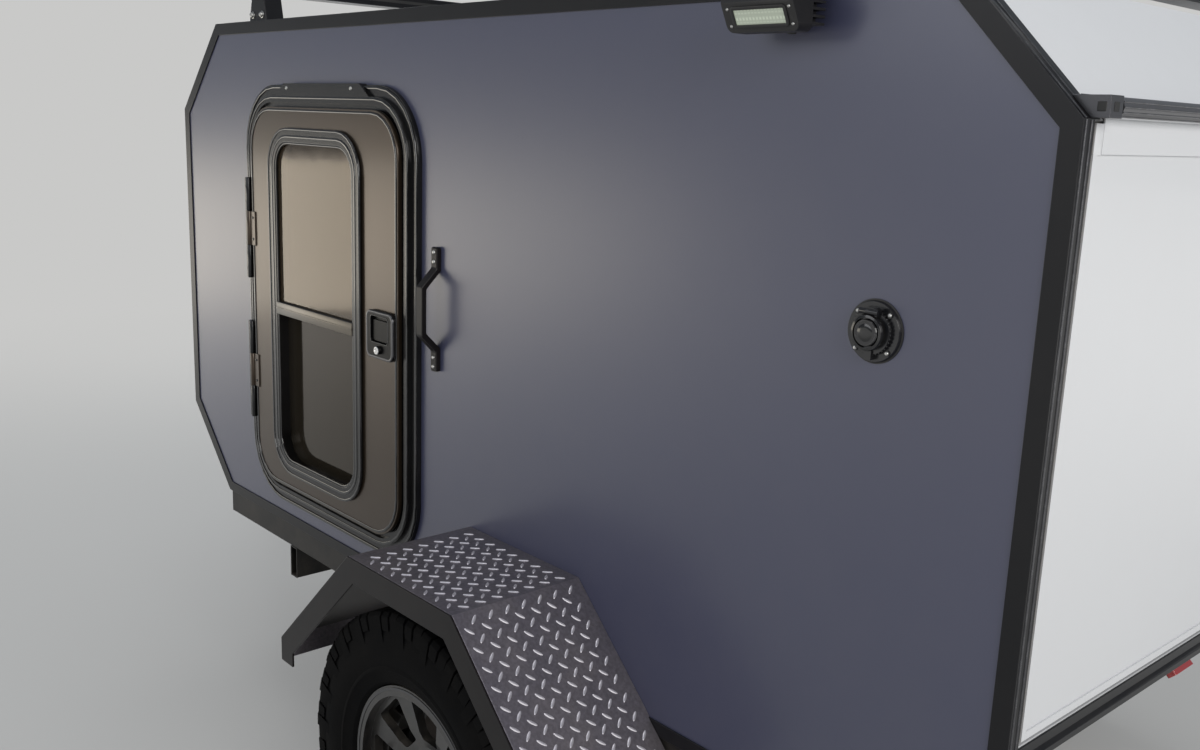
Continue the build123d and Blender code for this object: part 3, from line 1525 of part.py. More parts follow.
with BuildPart() as scene_lamp:
    with BuildSketch(cross_plane(lamp_x - lamp_width / 2)):
        with BuildLine():
            Polyline(
                (lamp_back_y, lamp_foot_z),
                (wall_face_y + lamp_reach - lamp_lean, lamp_foot_z),
                (wall_face_y + lamp_reach, lamp_foot_z + lamp_lens_rise),
                (wall_face_y + lamp_reach - lamp_crown, lamp_foot_z + lamp_height),
                (lamp_back_y, lamp_foot_z + lamp_height),
                close=True,
            )
        make_face()
    extrude(amount=lamp_width)
    fillet(scene_lamp.edges().filter_by(Axis.Y), lamp_corner)
    with BuildSketch(lamp_face):
        RectangleRounded(lamp_lens_width, lamp_lens_height, lamp_rim / 2)
    extrude(amount=-lamp_glass_depth, mode=Mode.SUBTRACT)
    # The core and foot that carry the box, with the fins round the core.
    with BuildSketch(side_plane(lamp_back_y)):
        with Locations((lamp_x, lamp_middle_z)):
            Rectangle(lamp_core_width, lamp_core_height)
    extrude(amount=lamp_back_y - wall_face_y)
    with BuildSketch(side_plane(wall_face_y)):
        with Locations((lamp_x, lamp_middle_z)):
            Rectangle(lamp_foot_width, lamp_foot_height)
    extrude(amount=-lamp_foot_thickness)
    for fin in range(lamp_fin_count):
        fin_z = lamp_middle_z + (fin - (lamp_fin_count - 1) / 2) * lamp_fin_pitch
        with BuildSketch(deck_plane(fin_z - lamp_fin_thickness / 2)):
            with Locations((lamp_x, (wall_face_y + lamp_fin_inner + lamp_back_y) / 2)):
                Rectangle(lamp_width - lamp_corner, lamp_back_y - wall_face_y - lamp_fin_inner)
        extrude(amount=lamp_fin_thickness)
scene_lamp.part.label = "scene_lamp"
export_step(scene_lamp.part, "parts/scene_lamp.step")

with BuildPart() as scene_lamp_lens:
    with BuildSketch(lamp_face.offset(-lamp_glass_depth)):
        RectangleRounded(
            lamp_lens_width - 2 * glass_gap, lamp_lens_height - 2 * glass_gap, lamp_rim / 2 - glass_gap
        )
    extrude(amount=lamp_glass_depth)
scene_lamp_lens.part.label = "scene_lamp_lens"
export_step(scene_lamp_lens.part, "parts/scene_lamp_lens.step")

# Red marker lamps across the rear, just under the sill's corner
marker_places_y = (-215, 0, 215)
marker_length = 66
marker_height = 16
marker_reach = 12
marker_drop = 11
foot_normal_plane = Plane(
    origin=(body_rear_x, 0, body_bottom_z + rear_foot_cut),
    x_dir=(0, 1, 0),
    z_dir=(-1, 0, -1),
)
with BuildPart() as marker_lamps:
    with BuildSketch(foot_normal_plane) as marker_faces:
        with Locations(*[(place, marker_drop) for place in marker_places_y]):
            Rectangle(marker_length, marker_height)
    extrude(amount=marker_reach)
marker_lamps.part.label = "marker_lamps"
export_step(marker_lamps.part, "parts/marker_lamps.step")

# Tail lamps on the rear cross member
tail_lamp_y = 560
tail_lamp_width = 150
tail_lamp_height = 48
tail_lamp_depth = 34
with BuildPart() as tail_lamps:
    with BuildSketch(cross_plane(crossmember_places[0] - crossmember_width / 2)):
        with Locations((tail_lamp_y, -crossmember_height / 2), (-tail_lamp_y, -crossmember_height / 2)):
            RectangleRounded(tail_lamp_width, tail_lamp_height, tail_lamp_height / 4)
    extrude(amount=-tail_lamp_depth)
tail_lamps.part.label = "tail_lamps"
export_step(tail_lamps.part, "parts/tail_lamps.step")

# Roof rack: two crossbars on feet clamped over the edge trims
rack_rear_x = 384
rack_front_room = 414
rack_bar_width = 60
rack_bar_height = 30
rack_bar_rise = 62
rack_foot_length = 90
rack_foot_width = 46
rack_foot_inset = 34
rack_overhang = 24
rack_places_x = (rack_rear_x, body_length - rack_front_room)
rack_foot_y = wall_face_y - rack_foot_inset
with BuildPart() as rack_feet:
    foot_low_z = body_height + trim_thickness
    for foot_x in rack_places_x:
        with BuildSketch(side_plane(rack_foot_y + rack_foot_width / 2)):
            with BuildLine():
                Polyline(
                    (foot_x - rack_foot_length / 2, foot_low_z),
                    (foot_x + rack_foot_length / 2, foot_low_z),
                    (foot_x + rack_bar_width / 2, foot_low_z + rack_bar_rise),
                    (foot_x - rack_bar_width / 2, foot_low_z + rack_bar_rise),
                    close=True,
                )
            make_face()
        extrude(amount=rack_foot_width)
    mirror(about=Plane.XZ)
rack_feet.part.label = "rack_feet"
export_step(rack_feet.part, "parts/rack_feet.step")

rack_half_length = rack_foot_y + rack_foot_width / 2 + rack_overhang
with BuildPart() as rack_bars:
    with BuildSketch(side_plane(rack_half_length)):
        with Locations(*[(place, foot_low_z + rack_bar_rise + rack_bar_height / 2) for place in rack_places_x]):
            Rectangle(rack_bar_width, rack_bar_height)
            Rectangle(rack_bar_width - 2 * rail_wall, rack_bar_height - 2 * rail_wall, mode=Mode.SUBTRACT)
    extrude(amount=2 * rack_half_length)
rack_bars.part.label = "rack_bars"
export_step(rack_bars.part, "parts/rack_bars.step")

# Roof vent: a collar round the hole and a hinged lid over it
vent_hinge_x = vent_x + vent_collar / 2 + vent_lid_gap + vent_lid_thickness + vent_hinge_gap
vent_hinge_z = body_height + vent_hinge_rise
with BuildPart() as vent_base:
    with BuildSketch(deck_plane(body_height)):
        with Locations((vent_x, 0)):
            Rectangle(vent_flange, vent_flange)
            Rectangle(vent_hole, vent_hole, mode=Mode.SUBTRACT)
    extrude(amount=vent_flange_thickness)
    with BuildSketch(deck_plane(body_height)):
        with Locations((vent_x, 0)):
            Rectangle(vent_collar, vent_collar)
            Rectangle(vent_hole, vent_hole, mode=Mode.SUBTRACT)
    extrude(amount=vent_collar_rise)
    # Two pairs of lugs on the flange, each with its pin.
    lug_step = (vent_knuckle_length + vent_lug_length) / 2 + side_play
    for knuckle_y in (vent_knuckle_y, -vent_knuckle_y):
        for lug_y in (knuckle_y - lug_step, knuckle_y + lug_step):
            with BuildSketch(side_plane(lug_y + vent_lug_length / 2)):
                with Locations((vent_hinge_x, vent_hinge_z)):
                    Circle(vent_knuckle_radius)
                with Locations((vent_hinge_x, (vent_hinge_z + body_height) / 2)):
                    Rectangle(2 * vent_knuckle_radius, vent_hinge_rise)
            extrude(amount=vent_lug_length)
        with BuildSketch(side_plane(knuckle_y + lug_step)):
            with Locations((vent_hinge_x, vent_hinge_z)):
                Circle(vent_pin_radius)
        extrude(amount=2 * lug_step)
    with BuildSketch(deck_plane(body_height)):
        with Locations(((vent_x + vent_hinge_x + vent_knuckle_radius) / 2, 0)):
            Rectangle(vent_hinge_x + vent_knuckle_radius - vent_x, vent_flange)
        with Locations((vent_x, 0)):
            Rectangle(vent_collar, vent_collar, mode=Mode.SUBTRACT)
    extrude(amount=vent_flange_thickness)
vent_base.part.label = "vent_base"
export_step(vent_base.part, "parts/vent_base.step")

vent_lid_inner = vent_collar + 2 * vent_lid_gap
vent_lid_outer = vent_lid_inner + 2 * vent_lid_thickness
vent_lid_low_z = body_height + vent_collar_rise + vent_lid_gap - vent_lid_skirt
with BuildPart() as vent_lid:
    with BuildSketch(deck_plane(vent_lid_low_z)):
        with Locations((vent_x, 0)):
            Rectangle(vent_lid_outer, vent_lid_outer)
    extrude(amount=vent_lid_skirt + vent_lid_thickness)
    with BuildSketch(deck_plane(vent_lid_low_z)):
        with Locations((vent_x, 0)):
            Rectangle(vent_lid_inner, vent_lid_inner)
    extrude(amount=vent_lid_skirt, mode=Mode.SUBTRACT)
    for knuckle_y in (vent_knuckle_y, -vent_knuckle_y):
        with BuildSketch(side_plane(knuckle_y + vent_knuckle_length / 2)):
            with Locations((vent_hinge_x, vent_hinge_z)):
                Circle(vent_knuckle_radius)
            with Locations((vent_x + vent_lid_outer / 2 + vent_hinge_gap / 2, vent_hinge_z + 2)):
                Rectangle(vent_hinge_gap, 2 * vent_knuckle_radius - 4)
            with Locations((vent_hinge_x, vent_hinge_z)):
                Circle(vent_pin_radius + pin_fit, mode=Mode.SUBTRACT)
        extrude(amount=vent_knuckle_length)
vent_lid.part.label = "vent_lid"
export_step(vent_lid.part, "parts/vent_lid.step")
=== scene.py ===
import math

import bpy
from mathutils import Matrix, Vector


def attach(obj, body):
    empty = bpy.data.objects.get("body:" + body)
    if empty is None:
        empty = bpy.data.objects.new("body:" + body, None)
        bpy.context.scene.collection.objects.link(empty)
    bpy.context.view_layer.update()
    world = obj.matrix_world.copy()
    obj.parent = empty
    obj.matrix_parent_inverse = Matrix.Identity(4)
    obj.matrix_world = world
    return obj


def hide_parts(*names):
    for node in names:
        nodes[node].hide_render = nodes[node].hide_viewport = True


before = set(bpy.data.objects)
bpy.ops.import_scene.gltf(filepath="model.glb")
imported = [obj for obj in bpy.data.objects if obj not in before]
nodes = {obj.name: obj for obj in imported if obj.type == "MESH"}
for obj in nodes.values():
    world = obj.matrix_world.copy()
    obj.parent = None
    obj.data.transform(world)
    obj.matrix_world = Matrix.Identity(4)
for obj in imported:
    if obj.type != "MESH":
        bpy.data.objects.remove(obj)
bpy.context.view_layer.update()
scene = bpy.context.scene
scene.view_settings.view_transform = "Standard"

# Sizes in metres, repeated from the CAD source. Body places are local: ahead of the body's rear face,
# out to the left and above its underside.
body_rear = -1.677242
body_low = 0.553
wall_face = 0.762
body_length = 2.488
body_height = 1.219
slope_foot_z = 1.039
slope_top_x = 0.180
axle_x = 1.002
axle_drop = 0.208
wheel_centre_y = 0.9105

LEFT = Vector((0.0, 1.0, 0.0))
REAR = Vector((-1.0, 0.0, 0.0))
UP = Vector((0.0, 0.0, 1.0))


def spot(x, y, z):
    """World point of a body place."""
    return Vector((body_rear + x, y, body_low + z))


# Camera, floor and light
eye_place = Vector((-2.3253, 2.0709, 1.5693))
eye_right = Vector((-0.6649309, -0.74604131, 0.03590626))
eye_up = Vector((0.18128964, -0.11457041, 0.97673317))
eye_back = Vector((-0.7245695, 0.6559695, 0.21143097))
eye_lens = 35.07
backdrop_colour = (0.80, 0.80, 0.79, 1.0)
backdrop_level = 0.73
mirrored_glow = 0.62
floor_fade_start = 2.0
floor_fade_end = 7.0
world_colour = (0.82, 0.90, 1.0, 1.0)
world_level = 0.34
# Name, place, aim, width, height, power in watts, colour.
softboxes = (
    ("rear_key", (-6.4, 1.8, 3.3), (-1.2, 0.0, 1.0), 4.0, 3.0, 235.0, (1.0, 0.98, 0.95)),
    ("side_fill", (0.5, 6.5, 3.4), (0.0, 0.6, 1.0), 5.0, 2.5, 105.0, (0.97, 0.98, 1.0)),
    ("top_light", (0.0, 0.0, 6.0), (0.0, 0.0, 0.0), 5.0, 4.0, 88.0, (1.0, 1.0, 1.0)),
    ("low_band", (6.0, 4.4, 0.55), (0.0, 0.9, 0.8), 5.0, 1.3, 48.0, (1.0, 0.91, 0.75)),
    ("front_fill", (6.5, -1.5, 3.0), (0.8, 0.0, 0.9), 3.0, 2.5, 120.0, (1.0, 0.99, 0.97)),
)


def set_camera():
    """The camera where the photograph was taken from."""
    lens = bpy.data.cameras.new("photo_camera")
    lens.lens = eye_lens
    lens.sensor_width = 36.0
    lens.clip_start = 0.02
    lens.clip_end = 200.0
    camera = bpy.data.objects.new("photo_camera", lens)
    scene.collection.objects.link(camera)
    camera.matrix_world = laid(eye_place, eye_right, eye_up, eye_back)
    scene.camera = camera


def add_softbox(name, place, aim, width, height, power, colour):
    """A rectangular studio lamp at place that faces aim."""
    lamp = bpy.data.lights.new(name, "AREA")
    lamp.shape = "RECTANGLE"
    lamp.size = width
    lamp.size_y = height
    lamp.energy = power
    lamp.color = colour
    holder = bpy.data.objects.new(name, lamp)
    scene.collection.objects.link(holder)
    holder.location = place
    holder.rotation_euler = (Vector(aim) - Vector(place)).to_track_quat("-Z", "Y").to_euler()


def set_floor():
    """A plain pale floor that turns into the backdrop's colour with distance."""
    clear_selection()
    bpy.ops.mesh.primitive_plane_add(size=80.0, location=(0.0, 0.0, 0.0))
    floor = bpy.context.object
    floor.name = "studio_floor"
    tree, shader = new_material("studio_floor")
    feed(tree, shader, [("Base Color", (0.45, 0.45, 0.44, 1.0)), ("Roughness", 0.75)])
    reach = put(tree, "ShaderNodeVectorMath", [(0, own_place(tree))], operation="LENGTH")
    fade = put(tree, "ShaderNodeMapRange",
               [("Value", reach.outputs["Value"]), ("From Min", floor_fade_start), ("From Max", floor_fade_end),
                ("To Min", 0.2)], interpolation_type="SMOOTHSTEP")
    rays = put(tree, "ShaderNodeLightPath")
    glow = calculate(tree, "MULTIPLY_ADD", rays.outputs["Is Glossy Ray"], mirrored_glow, backdrop_level)
    far = put(tree, "ShaderNodeEmission", [("Color", backdrop_colour), ("Strength", glow)])
    ground = put(tree, "ShaderNodeMixShader",
                 [("Fac", fade.outputs[0]), (1, shader.outputs[0]), (2, far.outputs[0])])
    feed(tree, tree.nodes["Material Output"], [("Surface", ground.outputs[0])])
    floor.data.materials.append(finishes["studio_floor"])


def set_world():
    """A dim cool sky that lights the object, and the backdrop that the camera sees."""
    world = bpy.data.worlds.new("studio_world")
    scene.world = world
    world.use_nodes = True
    tree = world.node_tree
    tree.nodes.clear()
    rays = put(tree, "ShaderNodeLightPath")
    light = put(tree, "ShaderNodeBackground", [("Color", world_colour), ("Strength", world_level)])
    backdrop = put(tree, "ShaderNodeBackground", [("Color", backdrop_colour), ("Strength", backdrop_level)])
    choice = put(tree, "ShaderNodeMixShader",
                 [("Fac", rays.outputs["Is Camera Ray"]), (1, light.outputs[0]), (2, backdrop.outputs[0])])
    put(tree, "ShaderNodeOutputWorld", [("Surface", choice.outputs[0])])


# Moves for shader nodes
def tone(red, green, blue):
    """A display colour of 0 to 255 as the linear colour that the nodes take."""
    def channel(value):
        share = value / 255.0
        return share / 12.92 if share <= 0.04045 else ((share + 0.055) / 1.055) ** 2.4
    return (channel(red), channel(green), channel(blue), 1.0)


def feed(tree, node, links):
    """Feeds a node's sockets from (socket, source) pairs; a source is an output or a plain value."""
    for socket, source in links:
        if isinstance(source, bpy.types.NodeSocket):
            tree.links.new(source, node.inputs[socket])
        else:
            node.inputs[socket].default_value = source


def put(tree, kind, links=(), **settings):
    """Adds a node, sets it and feeds it."""
    node = tree.nodes.new(kind)
    for key, value in settings.items():
        setattr(node, key, value)
    feed(tree, node, links)
    return node


def calculate(tree, operation, *values, clamped=False):
    """The result of one sum over outputs or plain numbers."""
    return put(tree, "ShaderNodeMath", enumerate(values), operation=operation, use_clamp=clamped).outputs[0]


def spread(tree, value, low, high, to_low=0.0, to_high=1.0):
    """A value's run from low to high, spread over another run."""
    return put(tree, "ShaderNodeMapRange",
               [("Value", value), ("From Min", low), ("From Max", high), ("To Min", to_low),
                ("To Max", to_high)]).outputs[0]


def blend(tree, mask, first, second):
    """The first colour, or the second where the mask is 1."""
    return put(tree, "ShaderNodeMix", [("Factor", mask), (6, first), (7, second)], data_type="RGBA").outputs[2]


def own_place(tree):
    """A place in the piece's own coordinates."""
    return put(tree, "ShaderNodeTexCoord").outputs["Object"]


def own_height(tree):
    """The height part of a piece's own coordinates."""
    return put(tree, "ShaderNodeSeparateXYZ", [(0, own_place(tree))]).outputs["Z"]


def faced(tree):
    """The surface's normal."""
    return put(tree, "ShaderNodeNewGeometry").outputs["Normal"]


def noise(tree, scale, detail, roughness=0.5):
    """Cloudy noise on a piece's own coordinates."""
    return put(tree, "ShaderNodeTexNoise",
               [("Vector", own_place(tree)), ("Scale", scale), ("Detail", detail),
                ("Roughness", roughness)]).outputs["Fac"]


# Effects shared by the materials
effects = {}
socket_kinds = {"Color": "NodeSocketColor", "Roughness": "NodeSocketFloat", "Normal": "NodeSocketVector"}


def new_effect(name, **inputs):
    """An empty effect with named inputs, numbers or colours; returns it with the inputs' sockets."""
    effect = bpy.data.node_groups.new(name, "ShaderNodeTree")
    for socket, value in inputs.items():
        kind = "NodeSocketFloat" if isinstance(value, float) else "NodeSocketColor"
        made = effect.interface.new_socket(name=socket, in_out="INPUT", socket_type=kind)
        made.default_value = value
    return effect, effect.nodes.new("NodeGroupInput").outputs


def close_effect(effect, **outputs):
    """Gives an effect its named outputs and keeps it for the materials."""
    for socket in outputs:
        effect.interface.new_socket(name=socket, in_out="OUTPUT", socket_type=socket_kinds[socket])
    feed(effect, effect.nodes.new("NodeGroupOutput"), outputs.items())
    effects[effect.name] = effect


def make_tone_drift():
    """Cloudy lightening and darkening of a colour."""
    effect, given = new_effect("tone_drift", Color=(0.5, 0.5, 0.5, 1.0), Scale=3.0, Drift=0.1)
    centred = calculate(effect, "SUBTRACT", noise(effect, given["Scale"], 5.0), 0.5)
    swing = calculate(effect, "MULTIPLY_ADD", centred, given["Drift"], 1.0)
    tinted = put(effect, "ShaderNodeVectorMath", [(0, given["Color"]), ("Scale", swing)], operation="SCALE")
    close_effect(effect, Color=tinted.outputs[0])


def make_fine_bump():
    """Small bumps of one size, such as spray texture or cast skin."""
    effect, given = new_effect("fine_bump", Scale=400.0, Height=0.0001, Strength=0.3)
    bump = put(effect, "ShaderNodeBump",
               [("Height", noise(effect, given["Scale"], 2.0)), ("Distance", given["Height"]),
                ("Strength", given["Strength"])])
    close_effect(effect, Normal=bump.outputs["Normal"])


def make_road_dust():
    """Dust that lies on what faces up and thickens towards the ground."""
    effect, given = new_effect("road_dust", Color=(0.5, 0.5, 0.5, 1.0), Roughness=0.5,
                               Dust=tone(150, 140, 126), Amount=0.2)
    facing = put(effect, "ShaderNodeSeparateXYZ", [(0, faced(effect))])
    upward = spread(effect, facing.outputs["Z"], 0.0, 1.0, 0.35)
    lowness = spread(effect, own_height(effect), 1.1, 0.1, 0.35)
    cover = spread(effect, noise(effect, 14.0, 8.0, 0.65), 0.38, 0.72)
    patchy = calculate(effect, "MULTIPLY", calculate(effect, "MULTIPLY", upward, lowness), cover)
    mask = calculate(effect, "MULTIPLY", patchy, given["Amount"], clamped=True)
    close_effect(effect, Color=blend(effect, mask, given["Color"], given["Dust"]),
                 Roughness=spread(effect, mask, 0.0, 1.0, given["Roughness"], 0.9))


def make_rubbed_edge():
    """A broken bright line along sharp edges, where a finish is rubbed through."""
    effect, given = new_effect("rubbed_edge", Color=(0.1, 0.1, 0.1, 1.0), Bare=(0.4, 0.4, 0.4, 1.0),
                               Width=0.0015, Amount=0.5)
    rounded = put(effect, "ShaderNodeBevel", [("Radius", given["Width"])], samples=4)
    likeness = put(effect, "ShaderNodeVectorMath", [(0, rounded.outputs["Normal"]), (1, faced(effect))],
                   operation="DOT_PRODUCT")
    edge = spread(effect, likeness.outputs["Value"], 0.985, 0.86)
    broken = spread(effect, noise(effect, 60.0, 6.0, 0.7), 0.45, 0.62)
    worn = calculate(effect, "MULTIPLY", edge, broken)
    mask = calculate(effect, "MULTIPLY", worn, given["Amount"], clamped=True)
    close_effect(effect, Color=blend(effect, mask, given["Color"], given["Bare"]))


def make_inner_side():
    """The lining on the shell's faces that look into the body instead of out of it."""
    effect, given = new_effect("inner_side", Color=(0.1, 0.1, 0.1, 1.0), Lining=tone(196, 164, 118))
    middle = spot(body_length / 2, 0.0, body_height / 2)
    from_middle = put(effect, "ShaderNodeVectorMath", [(0, own_place(effect)), (1, tuple(middle))],
                      operation="SUBTRACT").outputs[0]
    own_normal = put(effect, "ShaderNodeVectorTransform", [(0, faced(effect))],
                     vector_type="NORMAL", convert_from="WORLD", convert_to="OBJECT").outputs[0]
    outward = put(effect, "ShaderNodeVectorMath", [(0, from_middle), (1, own_normal)], operation="DOT_PRODUCT")
    reach = put(effect, "ShaderNodeVectorMath", [(0, from_middle)], operation="LENGTH")
    share = calculate(effect, "DIVIDE", outward.outputs["Value"], reach.outputs["Value"])
    mask = calculate(effect, "LESS_THAN", share, -0.3)
    close_effect(effect, Color=blend(effect, mask, given["Color"], given["Lining"]))


def make_painted_under_shade():
    """Painted shade on faces that look down: their colour is swapped for a dark one."""
    effect, given = new_effect("painted_under_shade", Color=(0.1, 0.1, 0.1, 1.0), Undercoat=(0.01, 0.01, 0.01, 1.0))
    facing = put(effect, "ShaderNodeSeparateXYZ", [(0, faced(effect))])
    mask = calculate(effect, "LESS_THAN", facing.outputs["Z"], -0.2)
    close_effect(effect, Color=blend(effect, mask, given["Color"], given["Undercoat"]))


def place_effect(tree, effect, **links):
    """Places one of the shared effects in a material, feeds its inputs and returns its outputs."""
    return put(tree, "ShaderNodeGroup", links.items(), node_tree=effects[effect]).outputs


# Finishes
finishes = {}
birch = (201, 170, 124)
pale_grey = (205, 206, 208)
crossbar_z = 0.555
leaf_top_z = 1.044


def new_material(name):
    """A new finish; returns its tree and its shader."""
    made = bpy.data.materials.new(name)
    made.use_nodes = True
    finishes[name] = made
    return made.node_tree, made.node_tree.nodes["Principled BSDF"]


def coated(name, colour, roughness, drift=0.2, cloud=3.0, grain=500.0, grain_height=0.00008,
           grain_strength=0.35, dust=0.15, bare=None, bare_width=0.0015, metallic=0.0, coat=0.0,
           coat_roughness=0.08, sheen_level=0.5, lining=None, undercoat=None):
    """A painted, powder-coated or moulded finish, with its cloudiness, grain, dust and rubbed edges, and
    painted shade on faces that look down where given.
    """
    tree, shader = new_material(name)
    source = place_effect(tree, "tone_drift", Color=tone(*colour), Scale=cloud, Drift=drift)["Color"]
    if lining is not None:
        source = place_effect(tree, "inner_side", Color=source, Lining=tone(*lining))["Color"]
    # Painted shade: faces that look down take the given dark colour.
    if undercoat is not None:
        source = place_effect(tree, "painted_under_shade", Color=source, Undercoat=tone(*undercoat))["Color"]
    if bare is not None:
        source = place_effect(tree, "rubbed_edge", Color=source, Bare=tone(*bare), Width=bare_width,
                              Amount=0.7)["Color"]
    dusty = place_effect(tree, "road_dust", Color=source, Roughness=roughness, Amount=dust)
    grained = place_effect(tree, "fine_bump", Scale=grain, Height=grain_height, Strength=grain_strength)
    feed(tree, shader, [("Base Color", dusty["Color"]), ("Roughness", dusty["Roughness"]),
                        ("Normal", grained["Normal"]), ("Metallic", metallic), ("Coat Weight", coat),
                        ("Coat Roughness", coat_roughness), ("Specular IOR Level", sheen_level)])


def make_glass():
    """Tinted acrylic for the door windows, darker below the crossbar: painted shade for the recessed lower pane
    and its reflection of the ground.
    """
    tree, shader = new_material("tinted_glass")
    waves = place_effect(tree, "fine_bump", Scale=9.0, Height=0.0012, Strength=0.25)
    # Painted shade: the lower pane takes a darker colour than the upper.
    upper = calculate(tree, "GREATER_THAN", own_height(tree), body_low + crossbar_z)
    feed(tree, shader, [("Normal", waves["Normal"]),
                        ("Base Color", blend(tree, upper, tone(78, 71, 60), tone(112, 98, 80))),
                        ("Roughness", 0.07), ("IOR", 1.49), ("Specular Tint", tone(206, 184, 156)),
                        ("Transmission Weight", 0.75)])


def make_hatch_hinge():
    """The hatch's hinge: a dark sleeve, and a leaf in the panel's pale paint."""
    tree, shader = new_material("hatch_hinge")
    sleeve = calculate(tree, "GREATER_THAN", own_height(tree), body_low + leaf_top_z)
    shade = blend(tree, sleeve, tone(*pale_grey), tone(60, 60, 63))
    dusty = place_effect(tree, "road_dust", Color=shade, Roughness=0.34, Amount=0.1)
    feed(tree, shader, [("Base Color", dusty["Color"]), ("Roughness", dusty["Roughness"])])


def make_lamp_lens():
    """The scene lamp's pale lens, pressed in small square prisms, with painted shade towards each prism's edge
    and a faint painted glow.
    """
    tree, shader = new_material("lamp_lens")
    grid = put(tree, "ShaderNodeTexVoronoi",
               [("Vector", own_place(tree)), ("Scale", 170.0), ("Randomness", 0.0)], distance="CHEBYCHEV")
    # Painted shade: each prism darkens towards its edge.
    lit = spread(tree, grid.outputs["Distance"], 0.0, 0.5, 1.0, 0.55)
    shade = put(tree, "ShaderNodeVectorMath", [(0, tone(206, 214, 196)[:3]), ("Scale", lit)], operation="SCALE")
    raised = put(tree, "ShaderNodeBump", [("Height", lit), ("Distance", 0.0008), ("Strength", 0.6)])
    # Painted glow: a faint emission that stands in for light falling on the lens.
    feed(tree, shader, [("Base Color", shade.outputs[0]), ("Normal", raised.outputs["Normal"]),
                        ("Roughness", 0.18), ("Coat Weight", 1.0), ("Emission Color", tone(206, 222, 190)),
                        ("Emission Strength", 0.12)])


def make_lens(name, colour):
    """A moulded lamp lens over a dull reflector."""
    tree, shader = new_material(name)
    drifted = place_effect(tree, "tone_drift", Color=tone(*colour), Scale=30.0, Drift=0.3)
    prisms = place_effect(tree, "fine_bump", Scale=260.0, Height=0.0006, Strength=0.6)
    feed(tree, shader, [("Base Color", drifted["Color"]), ("Normal", prisms["Normal"]), ("Roughness", 0.14),
                        ("Coat Weight", 1.0), ("Coat Roughness", 0.04)])


def make_finishes():
    """Every finish, under the record's slot names where it has one."""
    coated("wall_paint", (59, 61, 82), 0.36, drift=0.12, cloud=1.3, grain=900.0, grain_height=0.00005,
           grain_strength=0.25, dust=0.08, coat=0.55, coat_roughness=0.26, lining=birch)
    coated("pale_skin", pale_grey, 0.36, drift=0.05, cloud=2.0, grain=700.0, grain_height=0.00004,
           grain_strength=0.2, dust=0.10, coat=0.15, lining=birch)
    coated("floor_board", (150, 118, 80), 0.6, drift=0.35, cloud=9.0, dust=0.2)
    coated("board", birch, 0.5, drift=0.25, cloud=12.0, dust=0.0)
    coated("black_trim", (14, 14, 17), 0.34, grain=1100.0, dust=0.05, bare=(86, 86, 90),
           bare_width=0.001, sheen_level=0.26)
    coated("hinge_black", (70, 70, 73), 0.30, grain=900.0, dust=0.12, bare=(170, 170, 172),
           bare_width=0.001, metallic=0.6)
    coated("frame_black", (14, 14, 15), 0.26, grain=700.0, grain_strength=0.12, dust=0.06,
           coat=0.15, coat_roughness=0.10, sheen_level=0.3)
    coated("door_black", (62, 52, 42), 0.30, drift=0.12, cloud=2.0, grain=300.0, grain_height=0.00003,
           grain_strength=0.15, dust=0.04, metallic=0.75, coat=0.25, coat_roughness=0.12)
    # The plate's faces that look down take painted shade, near black, for the shadow under the fender.
    coated("tread_plate", (134, 129, 136), 0.36, drift=0.9, cloud=150.0, grain=1400.0, grain_height=0.00016,
           grain_strength=0.6, dust=0.3, metallic=0.85, undercoat=(8, 8, 8))
    # The bars are lighter than the plate: partly worn tops, partly a painted glint.
    coated("tread_bars", (222, 218, 224), 0.30, drift=0.3, cloud=150.0, grain=900.0, grain_height=0.00010,
           dust=0.1, metallic=0.7)
    coated("chassis_black", (20, 19, 19), 0.42, drift=0.25, cloud=6.0, grain=800.0, grain_height=0.00015,
           grain_strength=0.4, dust=0.32, bare=(96, 84, 72), sheen_level=0.25)
    coated("zinc_steel", (172, 172, 170), 0.34, drift=0.35, cloud=25.0, grain=600.0, dust=0.25, metallic=1.0)
    coated("gloss_black", (14, 14, 15), 0.14, grain=900.0, grain_strength=0.12, dust=0.06,
           coat=0.35, bare=(110, 110, 112), bare_width=0.0008, sheen_level=0.35)
    coated("latch_black", (9, 9, 10), 0.32, grain=900.0, dust=0.04, sheen_level=0.12)
    coated("skirt_black", (17, 14, 15), 0.36, grain=900.0, dust=0.06, bare=(96, 92, 92),
           bare_width=0.0012, sheen_level=0.2)
    coated("inlet_plastic", (14, 15, 19), 0.20, grain=800.0, dust=0.1)
    coated("lamp_housing", (24, 24, 26), 0.4, grain=1500.0, dust=0.15, metallic=0.2)
    coated("rail_tan", (104, 97, 86), 0.3, drift=0.1, grain=700.0, dust=0.08, metallic=0.3)
    coated("vent_plastic", (214, 212, 204), 0.42, drift=0.08, grain=600.0, dust=0.25)
    coated("vent_smoke", (52, 50, 48), 0.2, drift=0.1, grain=500.0, dust=0.25, coat=0.3)
    # The tyre's black is rubber's own, darkened further with painted shade from the fender above.
    coated("tyre", (7, 7, 8), 0.78, drift=0.3, cloud=18.0, grain=900.0, grain_height=0.0003,
           grain_strength=0.5, dust=0.03, sheen_level=0.06)
    coated("wheel_black", (21, 21, 22), 0.3, grain=900.0, dust=0.35, bare=(120, 120, 122), coat=0.2)
    coated("drum_iron", (58, 52, 48), 0.6, drift=0.5, cloud=30.0, dust=0.5, metallic=0.6)
    coated("bright_metal", (196, 196, 196), 0.18, drift=0.1, dust=0.05, metallic=1.0)
    coated("dull_metal", (88, 88, 90), 0.28, drift=0.1, dust=0.05, metallic=1.0)
    coated("rubber", (18, 18, 18), 0.6, grain=1200.0, dust=0.2)
    make_lens("red_lens", (150, 12, 10))
    make_lens("clear_lens", (214, 216, 205))
    make_lamp_lens()
    make_hatch_hinge()
    make_glass()


